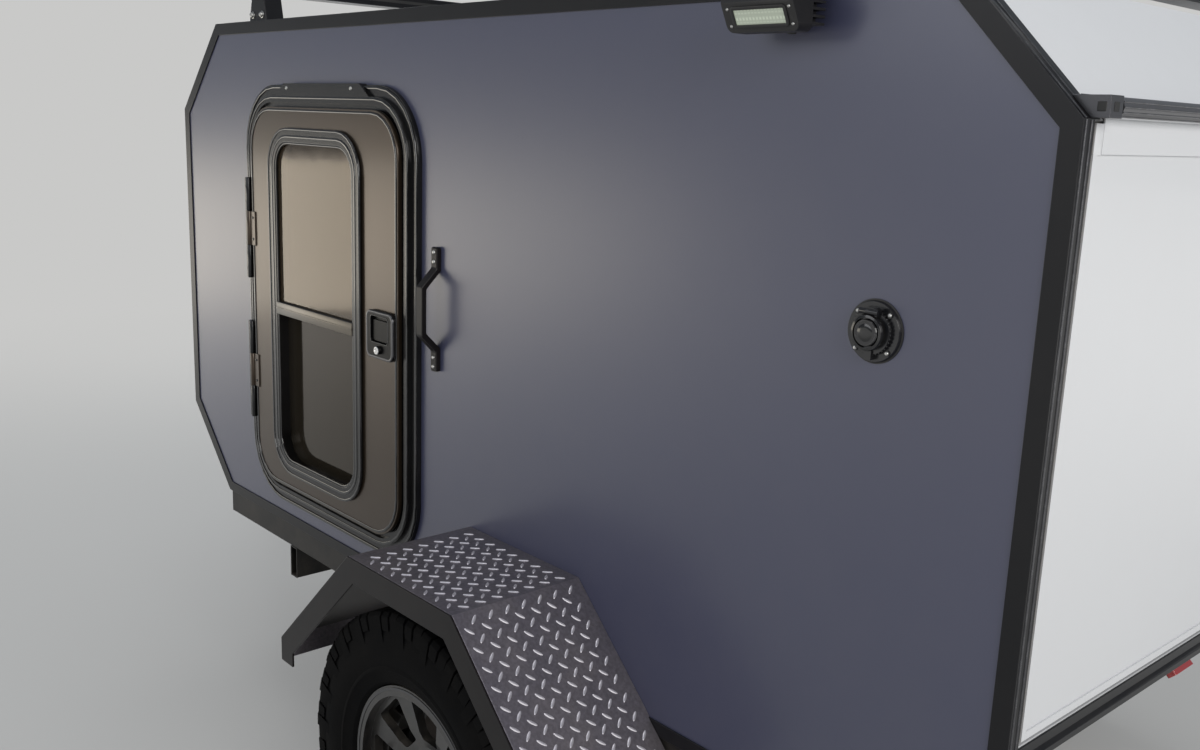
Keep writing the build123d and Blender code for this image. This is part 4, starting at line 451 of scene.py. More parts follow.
# CAD nodes whose finish isn't their slot's, and those with softened edges by the edge's width.
own_finish = {"door_latch_left": "latch_black", "door_latch_right": "latch_black",
              "fender_skirts": "skirt_black", "grab_handle": "skirt_black", "hatch_hinge": "hatch_hinge",
              "hatch_trim": "pale_skin"}
soft_edges = {
    0.0008: ("scene_lamp", "hinge_fixed", "sill_trim"),
    0.0010: ("fenders",),
    0.0012: ("edge_trims", "fender_skirts", "power_inlet"),
    0.0015: ("hatch_panel", "coupler", "hatch_handles"),
    0.0020: ("marker_lamps", "vent_base", "vent_lid", "door_latch_left", "door_latch_right"),
    0.0025: ("door_frames",),
    0.0026: ("door_window_left", "door_window_right"),
    0.0030: ("door_left", "door_right", "side_rails", "crossmembers", "grab_handle", "rack_feet", "rack_bars"),
    0.0040: ("tongue_frame", "tail_lamps"),
}


def dress_cad_nodes():
    """Gives every carried-over CAD node its finish, and some of them softened edges."""
    for name, node in nodes.items():
        for held in node.material_slots:
            held.material = finishes[own_finish.get(name, held.material.name.split(".")[0])]
    for width, names in soft_edges.items():
        for name in names:
            weld = nodes[name].modifiers.new("weld", "WELD")
            weld.merge_threshold = 0.00002
            bevel = nodes[name].modifiers.new("soft_edges", "BEVEL")
            bevel.width = width
            bevel.segments = 2
            bevel.limit_method = "ANGLE"
            bevel.angle_limit = math.radians(35.0)
            bevel.use_clamp_overlap = True
            bevel.harden_normals = True


# Modelling moves
def clear_selection():
    """Leaves edit mode and deselects everything."""
    if bpy.context.mode != "OBJECT":
        bpy.ops.object.mode_set(mode="OBJECT")
    bpy.ops.object.select_all(action="DESELECT")


def take(piece):
    """Selects one piece alone."""
    clear_selection()
    piece.select_set(True)
    bpy.context.view_layer.objects.active = piece


def settle(piece):
    """Puts a piece's place, turn and size into its mesh."""
    take(piece)
    bpy.ops.object.transform_apply(location=True, rotation=True, scale=True)
    return piece


def apply_modifier(piece, kind, **settings):
    """Adds a modifier, sets it and applies it."""
    take(piece)
    modifier = piece.modifiers.new(kind.lower(), kind)
    for key, value in settings.items():
        setattr(modifier, key, value)
    bpy.ops.object.modifier_apply(modifier=modifier.name)


def round_edges(piece, width, segments=2, angle=30.0):
    """Rounds every edge sharper than the angle."""
    apply_modifier(piece, "BEVEL", width=width, segments=segments, limit_method="ANGLE",
                   angle_limit=math.radians(angle))


def round_corners(piece, width, segments=6):
    """Rounds only the edges that run across the trailer."""
    weights = piece.data.attributes.new("bevel_weight_edge", "FLOAT", "EDGE")
    for edge, held in zip(piece.data.edges, weights.data):
        start, end = (piece.data.vertices[index].co for index in edge.vertices)
        held.value = 1.0 if abs((end - start).normalized().y) > 0.99 else 0.0
    apply_modifier(piece, "BEVEL", width=width, segments=segments, limit_method="WEIGHT")


def pick_faces(piece, wanted):
    """Enters edit mode with only the wanted faces selected."""
    take(piece)
    bpy.ops.object.mode_set(mode="EDIT")
    bpy.ops.mesh.select_mode(type="FACE")
    bpy.ops.mesh.select_all(action="DESELECT")
    bpy.ops.object.mode_set(mode="OBJECT")
    for face in piece.data.polygons:
        face.select = wanted(face)
    bpy.ops.object.mode_set(mode="EDIT")


def laid(place, *directions):
    """The move that turns a piece's own x, y and z to three directions and takes it to a place."""
    return Matrix.Translation(place) @ Matrix(directions).transposed().to_4x4()


def turned(centre, angle):
    """A turn about the crossways axis through a centre."""
    return Matrix.Translation(centre) @ Matrix.Rotation(angle, 4, "Y") @ Matrix.Translation(-centre)


def move_mesh(piece, move):
    """Moves a piece's mesh, and keeps its faces outward in a mirror image."""
    piece.data.transform(move)
    if move.determinant() < 0:
        piece.data.flip_normals()


def add_block(low, high, rounding=0.0, segments=2):
    """A box between two corners with rounded edges."""
    clear_selection()
    low, high = Vector(low), Vector(high)
    bpy.ops.mesh.primitive_cube_add(size=1.0, location=(low + high) / 2)
    piece = bpy.context.object
    piece.scale = high - low
    settle(piece)
    if rounding:
        round_edges(piece, rounding, segments)
    return piece


def add_body_block(low, high, rounding=0.0, segments=2):
    """A box between two body places."""
    return add_block(spot(*low), spot(*high), rounding, segments)


def add_side_blocks(low, high, rounding=0.0, segments=2):
    """A box between two body places on the left, and the same on the right."""
    blocks = []
    for side in (1.0, -1.0):
        low_y, high_y = sorted((side * low[1], side * high[1]))
        blocks.append(add_body_block((low[0], low_y, low[2]), (high[0], high_y, high[2]), rounding, segments))
    return blocks


def add_ring(low, high, corner, border, rounding):
    """An upright ring with rounded corners that faces left, between two corners of its outline."""
    piece = add_block(low, high)
    round_corners(piece, corner)
    pick_faces(piece, lambda face: abs(face.normal.y) > 0.9)
    bpy.ops.mesh.inset(thickness=border)
    bpy.ops.mesh.delete(type="FACE")
    bpy.ops.mesh.select_mode(type="EDGE")
    bpy.ops.mesh.select_non_manifold()
    bpy.ops.mesh.bridge_edge_loops()
    clear_selection()
    round_edges(piece, rounding, 2, 50.0)
    return piece


def add_rod(start, end, radius, sides=24, end_radius=None, rounding=0.0):
    """A round bar, cone or many-sided bolt head from start to end."""
    clear_selection()
    bpy.ops.mesh.primitive_cone_add(
        vertices=sides, radius1=radius, radius2=radius if end_radius is None else end_radius,
        depth=(end - start).length, location=(start + end) / 2,
        rotation=(end - start).to_track_quat("Z", "Y").to_euler(),
    )
    piece = settle(bpy.context.object)
    if rounding:
        round_edges(piece, rounding)
    return piece


def turn_profile(profile, centre, sides=48, closed=False, upright=False):
    """Turns a profile of (radius, distance along the axis) about a crossways or upright axis."""
    clear_selection()
    bpy.ops.mesh.primitive_circle_add(vertices=sides, radius=profile[0][0], location=(0.0, 0.0, profile[0][1]))
    piece = bpy.context.object
    bpy.ops.object.transform_apply(location=True)
    bpy.ops.object.mode_set(mode="EDIT")
    bpy.ops.mesh.select_all(action="SELECT")
    for (radius, place), (next_radius, next_place) in zip(profile, profile[1:]):
        bpy.ops.mesh.extrude_edges_move(TRANSFORM_OT_translate={"value": (0.0, 0.0, next_place - place)})
        growth = next_radius / radius
        bpy.ops.transform.resize(value=(growth, growth, 1.0), center_override=(0.0, 0.0, next_place))
    bpy.ops.mesh.select_all(action="DESELECT")
    bpy.ops.mesh.select_mode(type="EDGE")
    bpy.ops.mesh.select_non_manifold()
    if closed:
        bpy.ops.mesh.bridge_edge_loops()
    else:
        bpy.ops.mesh.fill_holes(sides=0)
    bpy.ops.mesh.select_all(action="SELECT")
    bpy.ops.mesh.normals_make_consistent(inside=False)
    bpy.ops.object.mode_set(mode="OBJECT")
    turn = Matrix.Identity(4) if upright else Matrix.Rotation(math.radians(-90.0), 4, "X")
    piece.matrix_world = Matrix.Translation(centre) @ turn
    return settle(piece)


def copy_piece(piece, move):
    """A copy with its own mesh, moved by a matrix."""
    copied = piece.copy()
    copied.data = piece.data.copy()
    scene.collection.objects.link(copied)
    move_mesh(copied, move)
    return copied


def ring_copies(piece, count, centre):
    """The piece and its copies at equal steps about the crossways axis through the centre."""
    return [piece] + [copy_piece(piece, turned(centre, 2 * math.pi * step / count)) for step in range(1, count)]


def join_pieces(pieces):
    """Joins pieces into the first one."""
    clear_selection()
    for piece in pieces:
        piece.select_set(True)
    bpy.context.view_layer.objects.active = pieces[0]
    if len(pieces) > 1:
        bpy.ops.object.join()
    return pieces[0]


def add_screw(place, out, radius=0.0042):
    """A domed screw head with a cross slot, seated at place and facing out."""
    head = add_rod(place, place + out * radius * 0.55, radius, sides=16,
                   end_radius=radius * 0.6, rounding=radius * 0.12)
    facing = out.to_track_quat("Z", "Y").to_matrix().to_4x4()
    slots = []
    for turn in (0.0, 90.0):
        slot = add_block(Vector((-0.4, -0.07, 0.5)) * radius, Vector((0.4, 0.07, 0.56)) * radius)
        move_mesh(slot, Matrix.Translation(place) @ facing @ Matrix.Rotation(math.radians(turn), 4, "Z"))
        slots.append(slot)
    return join_pieces([head] + slots)


def add_bolt(place, out, radius, height):
    """A hexagon head on a washer, seated at place and facing out."""
    washer = add_rod(place, place + out * height * 0.25, radius * 1.35, rounding=height * 0.06)
    head = add_rod(place + out * height * 0.2, place + out * height, radius, sides=6, rounding=radius * 0.1)
    stub = add_rod(place + out * height * 0.9, place + out * height * 1.35, radius * 0.55, sides=16,
                   rounding=radius * 0.08)
    return join_pieces([washer, head, stub])


# The mirror image across the trailer's length, from left to right.
ACROSS = Matrix.Scale(-1.0, 4, LEFT)


def fit_piece(name, pieces, finish, body="root", smooth=35.0):
    """Joins, names, shades and paints a finished piece and makes it ride on its body."""
    piece = join_pieces(pieces)
    piece.name = name
    piece.data.name = name
    take(piece)
    bpy.ops.object.shade_smooth_by_angle(angle=math.radians(smooth))
    piece.data.materials.clear()
    piece.data.materials.append(finishes[finish])
    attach(piece, body)
    return piece


def fit_pair(name, pieces, finish, body=None, smooth=35.0):
    """Fits a left piece and its mirror image on the right; returns both."""
    left = join_pieces(pieces)
    right = copy_piece(left, ACROSS)
    return [fit_piece(name + side, [piece], finish, "root" if body is None else body + side, smooth)
            for piece, side in ((left, "_left"), (right, "_right"))]


# Fenders
fender_rear_x = 0.565
fender_rise_x = 0.835
fender_fall_x = 1.168
fender_front_x = 1.440
fender_top_z = 0.215
fender_slope_foot_z = -0.045
fender_end_z = -0.095
tread_pitch = 0.035
tread_columns = 7
tread_margin = 0.0295
tread_bar_size = (0.0205, 0.0060, 0.0015)
tread_bar_top_share = (0.82, 0.45, 1.0)


def make_tread_bars(rows):
    """A flat field of raised bars, in two crossed sets, lying on z = 0."""
    sets = []
    for turn, offset, row_count in ((45.0, 0.0, rows), (-45.0, tread_pitch / 2, rows - 1)):
        clear_selection()
        bpy.ops.mesh.primitive_cylinder_add(vertices=10, radius=0.5, depth=1.0, location=(0.0, 0.0, 0.5))
        bar = bpy.context.object
        bpy.ops.object.transform_apply(location=True)
        pick_faces(bar, lambda face: face.normal.z > 0.9)
        bpy.ops.transform.resize(value=tread_bar_top_share, center_override=(0.0, 0.0, 1.0))
        clear_selection()
        bar.scale = tread_bar_size
        bar.rotation_euler = (0.0, 0.0, math.radians(turn))
        bar.location = (tread_pitch / 2 + offset, tread_margin + offset, 0.0)
        settle(bar)
        for count, step in ((row_count, (tread_pitch, 0.0, 0.0)), (tread_columns, (0.0, tread_pitch, 0.0))):
            apply_modifier(bar, "ARRAY", count=count, use_relative_offset=False, use_constant_offset=True,
                           constant_offset_displace=step)
        sets.append(bar)
    return join_pieces(sets)


def make_fender_treads():
    """Raised bars on the fender's five outer faces, one field a face."""
    faces = []
    for start, end in (
        ((fender_rise_x, fender_top_z), (fender_fall_x, fender_top_z)),
        ((fender_rise_x, fender_top_z), (fender_rear_x, fender_slope_foot_z)),
        ((fender_fall_x, fender_top_z), (fender_front_x, fender_slope_foot_z)),
        ((fender_rear_x, fender_slope_foot_z), (fender_rear_x, fender_end_z)),
        ((fender_front_x, fender_slope_foot_z), (fender_front_x, fender_end_z)),
    ):
        run = Vector((end[0] - start[0], 0.0, end[1] - start[1]))
        forward = run.normalized()
        normal = forward.cross(LEFT)
        middle = Vector((fender_rise_x + fender_fall_x, 0.0, 0.0)) / 2
        if normal.dot(Vector((start[0], 0.0, start[1])) - middle) < 0 or normal.z < -0.5:
            normal = -normal
        field = make_tread_bars(int(run.length / tread_pitch))
        move_mesh(field, laid(spot(start[0], wall_face, start[1]), forward, LEFT, normal))
        faces.append(field)
    fit_pair("fender_tread", faces, "tread_bars")


# Wheels
wheel_centre = spot(axle_x, wheel_centre_y, -axle_drop)
tread_steps = 26
tread_pitch_angle = 2 * math.pi / tread_steps
# Radius and distance from the tyre's middle, from the bead out to the tread's centre.
tyre_profile = [
    (0.1908, 0.0838), (0.2034, 0.0838), (0.2060, 0.0905), (0.2120, 0.0965), (0.2220, 0.0995),
    (0.2330, 0.1030), (0.2360, 0.1052), (0.2400, 0.1052), (0.2430, 0.1040), (0.2560, 0.1066),
    (0.2700, 0.1072), (0.2860, 0.1064), (0.3000, 0.1044), (0.3120, 0.1015), (0.3220, 0.0975),
    (0.3290, 0.0910), (0.3320, 0.0800), (0.3335, 0.0400),
]
centre_rows = ((0.0050, 0.0410, 0.0), (-0.0410, -0.0050, 0.5))  # low y, high y, phase
centre_foot = 0.331
centre_top = 0.3434
centre_length = 0.054
centre_skew = 0.008
# Phase, length, reach from the tyre's middle and radius of the folded foot of a step's shoulder blocks.
shoulder_blocks = ((-0.17, 0.0235, 0.0990, 0.296), (0.17, 0.0235, 0.0960, 0.308), (0.50, 0.0225, 0.0975, 0.318))
shoulder_start = 0.0520
shoulder_foot = 0.329
shoulder_top = 0.3440
nut_ring = 0.055


def make_tread_block(low_y, high_y, length, low, high):
    """One tread block at the top of the wheel."""
    return add_block(wheel_centre + Vector((-length / 2, low_y, low)),
                     wheel_centre + Vector((length / 2, high_y, high)))


def ring_block(block, rounding, phase):
    """A tread block with rounded edges, at every step round the wheel."""
    clear_selection()
    round_edges(block, rounding, 1)
    move_mesh(block, turned(wheel_centre, phase * tread_pitch_angle))
    return ring_copies(block, tread_steps, wheel_centre)


def make_tyre():
    """An all-terrain tyre: carcass, two staggered rows of centre blocks and folded shoulder blocks."""
    mirrored = [(radius, -place) for radius, place in reversed(tyre_profile)]
    parts = [turn_profile(tyre_profile + mirrored, wheel_centre, sides=136, closed=True)]
    for low_y, high_y, phase in centre_rows:
        block = make_tread_block(low_y, high_y, centre_length, centre_foot, centre_top)
        pick_faces(block, lambda face: face.normal.y > 0.9)
        bpy.ops.transform.translate(value=(centre_skew, 0.0, 0.0))
        parts += ring_block(block, 0.0018, phase)
    for side in (1.0, -1.0):
        stagger = 0.5 if side > 0 else 0.0
        for phase, length, reach, foot in shoulder_blocks:
            low_y, high_y = sorted((side * shoulder_start, side * reach))
            block = make_tread_block(low_y, high_y, length, shoulder_foot, shoulder_top)
            pick_faces(block, lambda face: face.normal.y * side > 0.9)
            for fold in ((0.0, side * 0.0062, -0.0085), (0.0, side * 0.0012, foot - shoulder_foot)):
                bpy.ops.mesh.extrude_region_move(TRANSFORM_OT_translate={"value": fold})
            parts += ring_block(block, 0.0016, stagger + phase)
    pair = fit_pair("tyre_tread", parts, "tyre", "wheel", smooth=28.0)
    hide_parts("tyre_left")
    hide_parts("tyre_right")


def make_wheel_fittings():
    """Machined lip ring, wheel nuts and valve."""
    ring = turn_profile([(0.1940, -0.001), (0.1947, 0.0012), (0.1990, 0.0012), (0.2000, -0.001)],
                        wheel_centre + LEFT * 0.091, sides=120, closed=True)
    fit_pair("lip_ring", [ring], "dull_metal", "wheel")
    seat = wheel_centre + LEFT * 0.050 + UP * nut_ring
    nut = join_pieces([
        add_rod(seat, seat + LEFT * 0.004, 0.0135, rounding=0.001),
        add_rod(seat + LEFT * 0.003, seat + LEFT * 0.020, 0.0105, sides=6, rounding=0.0012),
        add_rod(seat + LEFT * 0.018, seat + LEFT * 0.026, 0.0085, end_radius=0.005, rounding=0.001),
    ])
    fit_pair("wheel_nuts", ring_copies(nut, 6, wheel_centre), "zinc_steel", "wheel")
    foot = wheel_centre + Vector((0.1765, 0.066, 0.0))
    stem = add_rod(foot, foot + Vector((-0.010, 0.030, 0.0)), 0.0045, rounding=0.0008)
    stem_cap = add_rod(foot + Vector((-0.009, 0.027, 0.0)), foot + Vector((-0.0135, 0.0405, 0.0)), 0.0055,
                       sides=12, rounding=0.001)
    fit_pair("valve_stem", [stem, stem_cap], "rubber", "wheel")


# Doors
door_face = wall_face + 0.025
door_x = 1.727
door_z = 0.567
window_x = 1.747
window_z = 0.564
latch_x = 1.455
latch_z = 0.561
lip_z = latch_z + 0.012
door_hinge_x = 2.067
door_hinge_y = 0.790
door_hinge_heights = (door_z - 0.189, door_z + 0.165)
# Finish, body and rings of each piece. A ring has its middle's x and z, half width, half height, inner and
# outer face, corner radius, border and rounding.
door_rings = {
    "latch_rim": ("dull_metal", "door", (
        (latch_x, latch_z, 0.0525, 0.0510, door_face - 0.0005, door_face + 0.0108, 0.0165, 0.0066, 0.0022),)),
    "latch_lip": ("gloss_black", "door", (
        (latch_x, lip_z, 0.0355, 0.0295, door_face + 0.0088, door_face + 0.0108, 0.0085, 0.0018, 0.0006),)),
    "window_gasket": ("gloss_black", "door", (
        (window_x, window_z, 0.1765, 0.3820, door_face - 0.0010, door_face + 0.0045, 0.0605, 0.0052, 0.0015),)),
    "window_bead": ("gloss_black", "door", (
        (window_x, window_z, 0.2085, 0.4140, door_face + 0.0040, door_face + 0.0078, 0.0925, 0.0060, 0.0019),
        (window_x, window_z, 0.1925, 0.3980, door_face + 0.0040, door_face + 0.0072, 0.0765, 0.0070, 0.0024))),
    "frame_beads": ("gloss_black", None, (
        (door_x, door_z, 0.3780, 0.5050, wall_face + 0.0095, wall_face + 0.0128, 0.1480, 0.0070, 0.0022),
        (door_x, door_z, 0.3545, 0.4815, wall_face + 0.0175, wall_face + 0.0196, 0.1245, 0.0060, 0.0016))),
    "door_bead": ("gloss_black", "door", (
        (door_x, door_z, 0.3260, 0.4530, door_face - 0.0005, door_face + 0.0020, 0.0960, 0.0060, 0.0018),)),
    "door_seal": ("rubber", None, (
        (door_x, door_z, 0.3250, 0.4520, wall_face + 0.0095, wall_face + 0.0142, 0.0950, 0.0110, 0.0018),)),
}


def fit_door_rings(*names):
    """Fits rims, gaskets, beads and seals round the doors, their frames, windows and latches."""
    for name in names:
        finish, body, rings = door_rings[name]
        parts = [
            add_ring(spot(x - half_width, inner, z - half_height), spot(x + half_width, outer, z + half_height),
                     corner, border, rounding)
            for x, z, half_width, half_height, inner, outer, corner, border, rounding in rings
        ]
        fit_pair(name, parts, finish, body)


def make_latches():
    """The rim, key barrel and lip of each door latch."""
    fit_door_rings("latch_rim")
    place = spot(latch_x, door_face + 0.016, latch_z - 0.031)
    barrel = turn_profile([(0.0088, -0.004), (0.0088, 0.0012), (0.0078, 0.0022), (0.0046, 0.0022),
                           (0.0042, 0.0012), (0.0010, 0.0012)], place, sides=32)
    slit = add_block(place + Vector((-0.0006, 0.0010, -0.0034)), place + Vector((0.0006, 0.0018, 0.0034)))
    fit_pair("key_barrel", [barrel, slit], "bright_metal", "door")
    fit_door_rings("latch_lip")


def make_window_fittings():
    """The crossbar's cover with its groove bead, the panes' gasket and the beads round the window frame."""
    bars = [add_body_block((window_x - 0.1745, door_face + inner, crossbar_z - half_height),
                           (window_x + 0.1745, door_face + outer, crossbar_z + half_height), 0.0006)
            for inner, outer, half_height in ((0.0055, 0.0078, 0.0140), (0.0070, 0.0090, 0.0022))]
    fit_pair("window_rail", bars, "rail_tan", "door")
    fit_door_rings("window_gasket", "window_bead")


def add_hinge_screws(ahead, rises):
    """Screws at both door hinges, ahead of the pin and at rises from each hinge's middle."""
    return [add_screw(spot(door_hinge_x + ahead, door_hinge_y, height + rise), LEFT, 0.0036)
            for height in door_hinge_heights for rise in rises]


def make_hinge_screws():
    """Screws of the drip cap and of the door hinges."""
    fit_pair("cap_screws", [add_screw(spot(door_x + shift, wall_face + 0.018, door_z + 0.4995), LEFT, 0.0046)
                            for shift in (-0.135, 0.152)], "zinc_steel")
    fixed = add_hinge_screws(0.0130, (-0.100, -0.062, 0.062, 0.100))
    moving = add_hinge_screws(-0.0200, (-0.026, 0.026))
    fit_pair("hinge_screws", fixed, "gloss_black")
    fit_pair("leaf_screws", moving, "gloss_black", "door")


# Left wall
grab_x = 1.288
grab_screw_heights = (0.522, 0.541, 0.734, 0.753)
inlet_x = 0.251
inlet_z = 0.756
inlet_screw_ring = 0.036
lamp_x = 0.425
lamp_foot_z = 1.142


def make_grab_screws():
    """Two screws in each tab of the grab handle."""
    fit_piece("grab_screws", [add_screw(spot(grab_x, wall_face + 0.011, height), LEFT, 0.0046)
                              for height in grab_screw_heights], "zinc_steel")


def make_inlet_details():
    """The inlet cap's rim, dome and skirt, ribs round the collar, flange screws and the flange's gasket."""
    centre = spot(inlet_x, wall_face, inlet_z)
    rim = turn_profile([(0.0150, 0.0235), (0.0158, 0.0252), (0.0172, 0.0252), (0.0182, 0.0235)],
                       centre, sides=64, closed=True)
    dome = turn_profile([(0.0150, 0.0235), (0.0130, 0.0249), (0.0070, 0.0256), (0.0010, 0.0258)], centre)
    skirt = turn_profile([(0.0205, 0.0120), (0.0246, 0.0128), (0.0250, 0.0200), (0.0236, 0.0232),
                          (0.0205, 0.0238)], centre, sides=64, closed=True)
    fit_piece("inlet_rim", [rim, dome, skirt], "gloss_black")
    rib = add_block(centre + Vector((-0.0012, 0.0062, 0.0290)), centre + Vector((0.0012, 0.0122, 0.0318)),
                    0.0005)
    fit_piece("inlet_ribs", ring_copies(rib, 36, centre), "inlet_plastic")
    screws = []
    for turn in (45.0, 135.0, 225.0, 315.0):
        across = inlet_screw_ring * math.cos(math.radians(turn))
        rise = inlet_screw_ring * math.sin(math.radians(turn))
        screws.append(add_screw(centre + Vector((across, 0.0088, rise)), LEFT, 0.0032))
    fit_piece("inlet_screws", screws, "zinc_steel")
    gasket = turn_profile([(0.0400, 0.0002), (0.0400, 0.0022), (0.0440, 0.0016), (0.0440, 0.0002)],
                          centre, sides=64, closed=True)
    fit_piece("inlet_gasket", [gasket], "rubber")


def make_lamp_details():
    """Bezel with its screws, the mounting bolts and the cable gland of the scene lamp."""
    across = -REAR
    out = Vector((0.0, 0.038, -0.020)).normalized()
    face = laid(spot(lamp_x, wall_face + 0.075, lamp_foot_z + 0.019), across, out, across.cross(out))
    bezel = add_ring((-0.0485, -0.0008, -0.0155), (0.0485, 0.0016, 0.0155), 0.006, 0.0050, 0.0006)
    move_mesh(bezel, face)
    fit_piece("lamp_bezel", [bezel], "lamp_housing")
    fit_piece("lamp_screws", [add_screw(face @ Vector((side, 0.0, rise)), out, 0.0026)
                              for side in (-0.0535, 0.0535) for rise in (-0.0120, 0.0120)], "zinc_steel")
    fit_piece("lamp_bolts", [add_bolt(spot(lamp_x + out.x * 0.035, wall_face + 0.022, lamp_foot_z + 0.031),
                                      out, 0.006, 0.007) for out in (REAR, -REAR)], "zinc_steel")
    gland_place = spot(lamp_x - 0.010, wall_face + 0.018, lamp_foot_z + 0.0105)
    gland = add_rod(gland_place, gland_place - UP * 0.010, 0.0075, sides=8, end_radius=0.0062, rounding=0.0008)
    fit_piece("lamp_gland", [gland], "rubber")


# Rear end
hatch_hinge_x = -0.010
hatch_hinge_z = 1.054
sleeve_radius = 0.013
sleeve_half_length = 0.7115
hatch_half_width = 0.7310
hatch_lock_z = 0.330
trim_thickness = 0.0030
trim_rib_insets = (0.0035, 0.0165)
trim_rib_radius = 0.0014
trim_rib_foot_z = 0.240
rear_foot_cut = 0.212
marker_places = (-0.215, 0.0, 0.215)
tail_places = (0.560, -0.560)
tail_ribs = 7
tail_rib_start = -0.0430
tail_rib_pitch = 0.0060
rear_slope = Vector((1.0, 0.0, 1.0)).normalized()
rear_slope_out = Vector((-1.0, 0.0, 1.0)).normalized()
foot_slope = Vector((1.0, 0.0, -1.0)).normalized()
foot_slope_out = Vector((-1.0, 0.0, -1.0)).normalized()


def make_hinge_ribs():
    """The fine ribs along the fixed leaf of the hatch hinge and round its sleeve."""
    moving = []
    for turn in (150.0, 178.0, 206.0, 234.0):
        away = Vector((math.cos(math.radians(turn)), 0.0, math.sin(math.radians(turn)))) * sleeve_radius
        moving.append(add_rod(spot(hatch_hinge_x, -sleeve_half_length, hatch_hinge_z) + away,
                              spot(hatch_hinge_x, sleeve_half_length, hatch_hinge_z) + away, 0.0011, sides=8))
    fit_piece("sleeve_ribs", moving, "hinge_black", "hatch")
    fixed = []
    for reach in (0.014, 0.0205, 0.027, 0.0335):
        middle = spot(0.0, 0.0, slope_foot_z) + rear_slope * reach + rear_slope_out * 0.0030
        rib = add_block((-0.0011, -0.7190, -0.0008), (0.0011, 0.7190, 0.0011), 0.0005, 1)
        move_mesh(rib, laid(middle, rear_slope, LEFT, rear_slope_out))
        fixed.append(rib)
    fit_piece("leaf_ribs", fixed, "hinge_black")


def make_trim_ribs():
    """Two rounded ribs down the back of each side's edge trim, beside the hatch and up the slope."""
    ribs = []
    for start, end, out in (((0.0, trim_rib_foot_z), (0.0, slope_foot_z), REAR),
                            ((0.0, slope_foot_z), (slope_top_x, body_height), rear_slope_out)):
        for inset in trim_rib_insets:
            ribs.append(add_rod(spot(start[0], wall_face - inset, start[1]) + out * trim_thickness,
                                spot(end[0], wall_face - inset, end[1]) + out * trim_thickness,
                                trim_rib_radius, sides=10))
    # The ribs' finish is lighter than the trim around them, as a painted glint.
    fit_pair("trim_ribs", ribs, "hinge_black")


def make_end_plugs():
    """Square sockets in the hinge's end blocks."""
    outer = add_side_blocks((-0.0195, 0.7470, 1.0485), (-0.0085, 0.7486, 1.0595), 0.0006, 1)
    rear = add_side_blocks((-0.0247, 0.7270, 1.0485), (-0.0235, 0.7390, 1.0595), 0.0004, 1)
    fit_piece("hinge_plugs", outer + rear, "rubber")


def make_hatch_seal():
    """The rubber seal round the hatch panel's sides and foot."""
    strips = add_side_blocks((0.0060, 0.7305, 0.2515), (0.0150, 0.7345, 1.0200), 0.0012)
    strips.append(add_body_block((0.0060, -0.7345, 0.2505), (0.0150, 0.7345, 0.2545), 0.0012))
    fit_piece("hatch_seal", strips, "rubber", "hatch")


def make_hatch_locks():
    """Screws of the hatch handle's plate, the key barrel in its bar and the covers at the hinge's ends."""
    screws = [add_screw(spot(-0.006, across, hatch_lock_z + rise), REAR)
              for across in (-0.035, 0.035) for rise in (-0.019, 0.019)]
    fit_piece("hatch_screws", screws, "zinc_steel", "hatch")
    place = spot(-0.0325, 0.0, hatch_lock_z)
    barrel = add_rod(place, place + REAR * 0.0012, 0.0045)
    slit = add_block(place + Vector((-0.0014, -0.0004, -0.0022)), place + Vector((-0.0010, 0.0004, 0.0022)))
    fit_piece("hatch_keys", [barrel, slit], "bright_metal", "hatch")
    covers = add_side_blocks((-0.0025, sleeve_half_length, 0.9990), (0.0004, hatch_half_width, 1.0355), 0.0006)
    fit_piece("hatch_corners", covers, "pale_skin", "hatch")


def make_rear_lamp_details():
    """Bases and screws of the marker lamps, and bases, clear windows, ribs and screws of the tail lamps."""
    bases = []
    screws = []
    for place_y in marker_places:
        face = laid(spot(0.0, place_y, rear_foot_cut) + foot_slope * 0.011, LEFT, foot_slope, foot_slope_out)
        base = add_block((-0.0400, -0.0100, 0.0002), (0.0400, 0.0100, 0.0032), 0.0010)
        move_mesh(base, face)
        bases.append(base)
        screws += [add_screw(face @ Vector((side, 0.0, 0.0032)), foot_slope_out, 0.0022)
                   for side in (-0.0366, 0.0366)]
    windows = []
    ribs = []
    for place_y in tail_places:
        bases.append(add_body_block((0.2045, place_y - 0.0785, -0.0525),
                                    (0.2118, place_y + 0.0785, 0.0005), 0.0030))
        screws += [add_screw(spot(0.1785, place_y + across, -0.025), REAR, 0.0032)
                   for across in (-0.064, 0.064)]
        windows.append(add_body_block((0.1765, place_y - 0.021, -0.0400),
                                      (0.1785, place_y + 0.021, -0.0100), 0.0009))
        for step in range(tail_ribs):
            height = tail_rib_start + tail_rib_pitch * step
            for low, high in ((-0.058, -0.026), (0.026, 0.058)):
                ribs.append(add_body_block((0.1770, place_y + low, height),
                                           (0.1790, place_y + high, height + 0.0030), 0.0008, 1))
    fit_piece("lamp_bases", bases, "inlet_plastic")
    fit_piece("lamp_base_screws", screws, "zinc_steel")
    fit_piece("tail_windows", windows, "clear_lens")
    fit_piece("tail_ribs", ribs, "red_lens")


# Roof
rack_places = (0.384, 2.074)
vent_x = 1.500
vent_lid_top = 1.273
vent_flange_z = 1.2230
vent_screw_reach = 0.2170


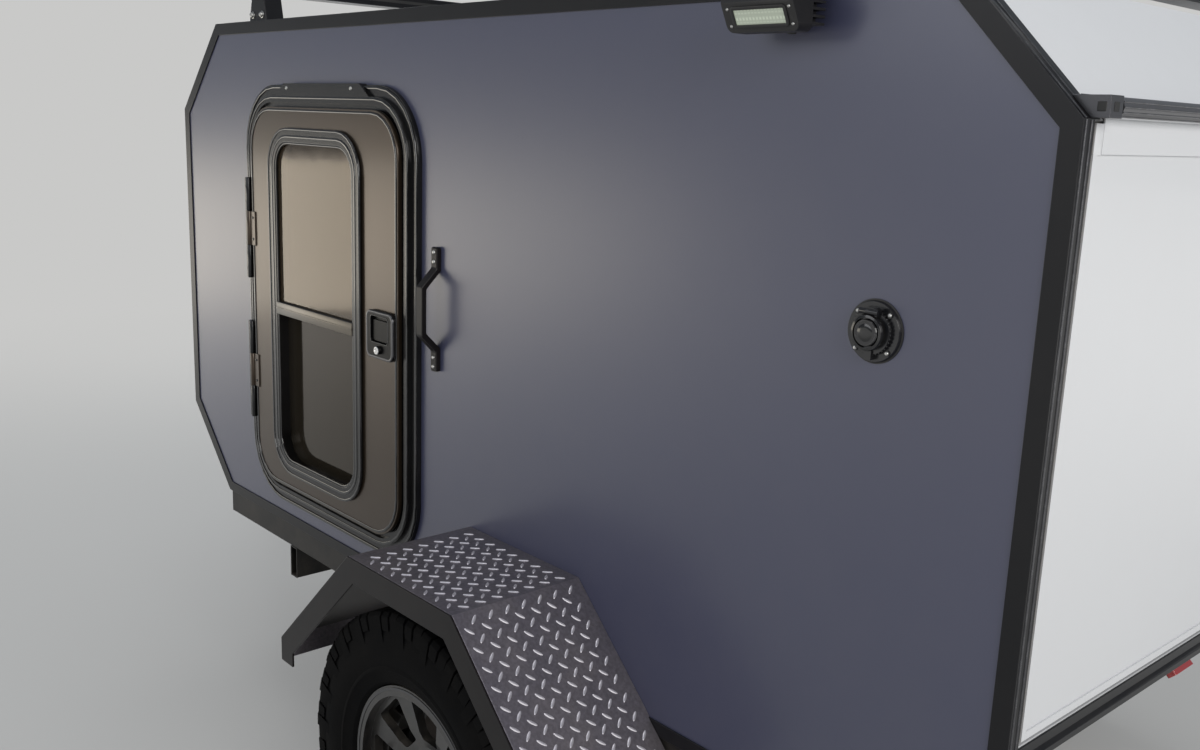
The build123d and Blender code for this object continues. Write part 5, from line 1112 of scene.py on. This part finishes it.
def make_rack_details():
    """End caps and slot strips of the crossbars, and the bolts of their feet."""
    caps = []
    strips = []
    bolts = []
    for bar_x in rack_places:
        caps += add_side_blocks((bar_x - 0.0298, 0.7735, 1.2842), (bar_x + 0.0298, 0.7790, 1.3138), 0.0022)
        bolts += [add_bolt(spot(bar_x + shift, out.y * 0.7510, 1.2370), out, 0.0062, 0.006)
                  for out in (LEFT, -LEFT) for shift in (-0.024, 0.024)]
        for edge in (-0.0300, 0.0300):
            low_x, high_x = sorted((bar_x + edge * 0.985, bar_x + edge * 1.012))
            strips.append(add_body_block((low_x, -0.7700, 1.2955), (high_x, 0.7700, 1.3025)))
    fit_piece("rack_caps", caps, "rubber")
    fit_piece("rack_slots", strips, "rubber")
    fit_piece("rack_bolts", bolts, "zinc_steel")


def make_vent_details():
    """Raised ribs of the vent's lid and the screws of its flange."""
    ribs = [add_body_block((vent_x + shift - 0.007, -0.165, vent_lid_top - 0.0005),
                           (vent_x + shift + 0.007, 0.165, vent_lid_top + 0.0035), 0.0016)
            for shift in (-0.120, -0.060, 0.0, 0.060, 0.120)]
    fit_piece("vent_ribs", ribs, "vent_smoke", "vent_lid")
    places = []
    for shift in (-0.195, -0.0975, 0.0, 0.0975, 0.195):
        places += [(shift, -vent_screw_reach), (shift, vent_screw_reach), (-vent_screw_reach, shift)]
    fit_piece("vent_screws", [add_screw(spot(vent_x + ahead, across, vent_flange_z), UP, 0.0034)
                              for ahead, across in places], "zinc_steel")


# Chassis
spring_y = 0.740
spring_eye_x = 0.3286
spring_eye_z = -0.1209
shackle_pin_x = 0.6292
shackle_pin_z = -0.0849
spring_plate_z = -0.1374
# Place, height and reach of the nuts from the spring's middle.
spring_pins = ((axle_x + spring_eye_x, spring_eye_z, 0.0285), (axle_x - spring_eye_x, spring_eye_z, 0.0285),
               (shackle_pin_x, shackle_pin_z, 0.0350))
ball_x = 3.348484
# Distance behind the ball, to the side, and height of the coupler's and the jack plate's bolts.
tongue_bolts = ((0.200, 0.079, -0.054), (0.120, 0.042, -0.054), (0.400, 0.172, -0.052), (0.290, 0.121, -0.052))
jack_x = ball_x - 0.345
jack_top_z = 0.846 - body_low
crank_place = spot(jack_x - 0.150, -0.086, 0.823 - body_low)
grip_ribs = 8
grip_start = 0.014
grip_pitch = 0.009


def make_spring_nuts():
    """Nuts of the U-bolts, the eye bolts and the shackles, and the clips that hold the leaves together."""
    nuts = [add_bolt(spot(axle_x + across, spring_y + side, spring_plate_z), UP, 0.0095, 0.010)
            for across in (-0.0363, 0.0363) for side in (-0.0288, 0.0288)]
    nuts += [add_bolt(spot(place_x, spring_y + out.y * face, place_z), out, 0.0125, 0.0065)
             for place_x, place_z, face in spring_pins for out in (-LEFT, LEFT)]
    fit_pair("spring_nuts", nuts, "zinc_steel")
    clips = [add_body_block((axle_x + across - 0.009, spring_y - 0.0250, -0.1648),
                            (axle_x + across + 0.009, spring_y + 0.0250, -0.1402), 0.0012)
             for across in (-0.150, 0.150)]
    fit_pair("spring_clips", clips, "chassis_black")


def make_tongue_bolts():
    """Bolts of the coupler and of the jack's plate, and the coupler's latch pin."""
    bolts = [add_bolt(spot(ball_x - behind, sign * side, top), UP, 0.0095, 0.009)
             for behind, side, top in tongue_bolts for sign in (-1.0, 1.0)]
    pin_place = spot(ball_x - 0.052, 0.0, -0.048)
    bolts.append(add_rod(pin_place - LEFT * 0.0165, pin_place + LEFT * 0.0165, 0.0045, rounding=0.0006))
    fit_piece("tongue_bolts", bolts, "zinc_steel")


def make_jack_details():
    """The jack's cap, its collar and the grip ribs of its crank."""
    cap = turn_profile([(0.0320, 0.0), (0.0325, 0.0020), (0.0300, 0.0060), (0.0200, 0.0085), (0.0010, 0.0090)],
                       spot(jack_x, 0.0, jack_top_z - 0.0005), upright=True)
    collar = turn_profile([(0.0285, -0.052), (0.0310, -0.052), (0.0310, -0.046), (0.0285, -0.046)],
                          spot(jack_x, 0.0, jack_top_z), closed=True, upright=True)
    fit_piece("jack_cap", [cap, collar], "gloss_black")
    ribs = [turn_profile([(0.0128, -0.0020), (0.0140, -0.0010), (0.0140, 0.0010), (0.0128, 0.0020)],
                         crank_place - LEFT * (grip_start + grip_pitch * step), sides=32, closed=True)
            for step in range(grip_ribs)]
    fit_piece("crank_grip", ribs, "rubber")


for make_effect in (make_tone_drift, make_fine_bump, make_road_dust, make_rubbed_edge, make_inner_side,
                    make_painted_under_shade):
    make_effect()
make_finishes()
set_camera()
set_floor()
set_world()
for softbox in softboxes:
    add_softbox(*softbox)
dress_cad_nodes()
make_fender_treads()
make_tyre()
make_wheel_fittings()
make_latches()
make_window_fittings()
fit_door_rings("frame_beads", "door_bead", "door_seal")
make_hinge_screws()
make_grab_screws()
make_inlet_details()
make_lamp_details()
make_hinge_ribs()
make_trim_ribs()
make_end_plugs()
make_hatch_seal()
make_hatch_locks()
make_rear_lamp_details()
make_rack_details()
make_vent_details()
make_spring_nuts()
make_tongue_bolts()
make_jack_details()
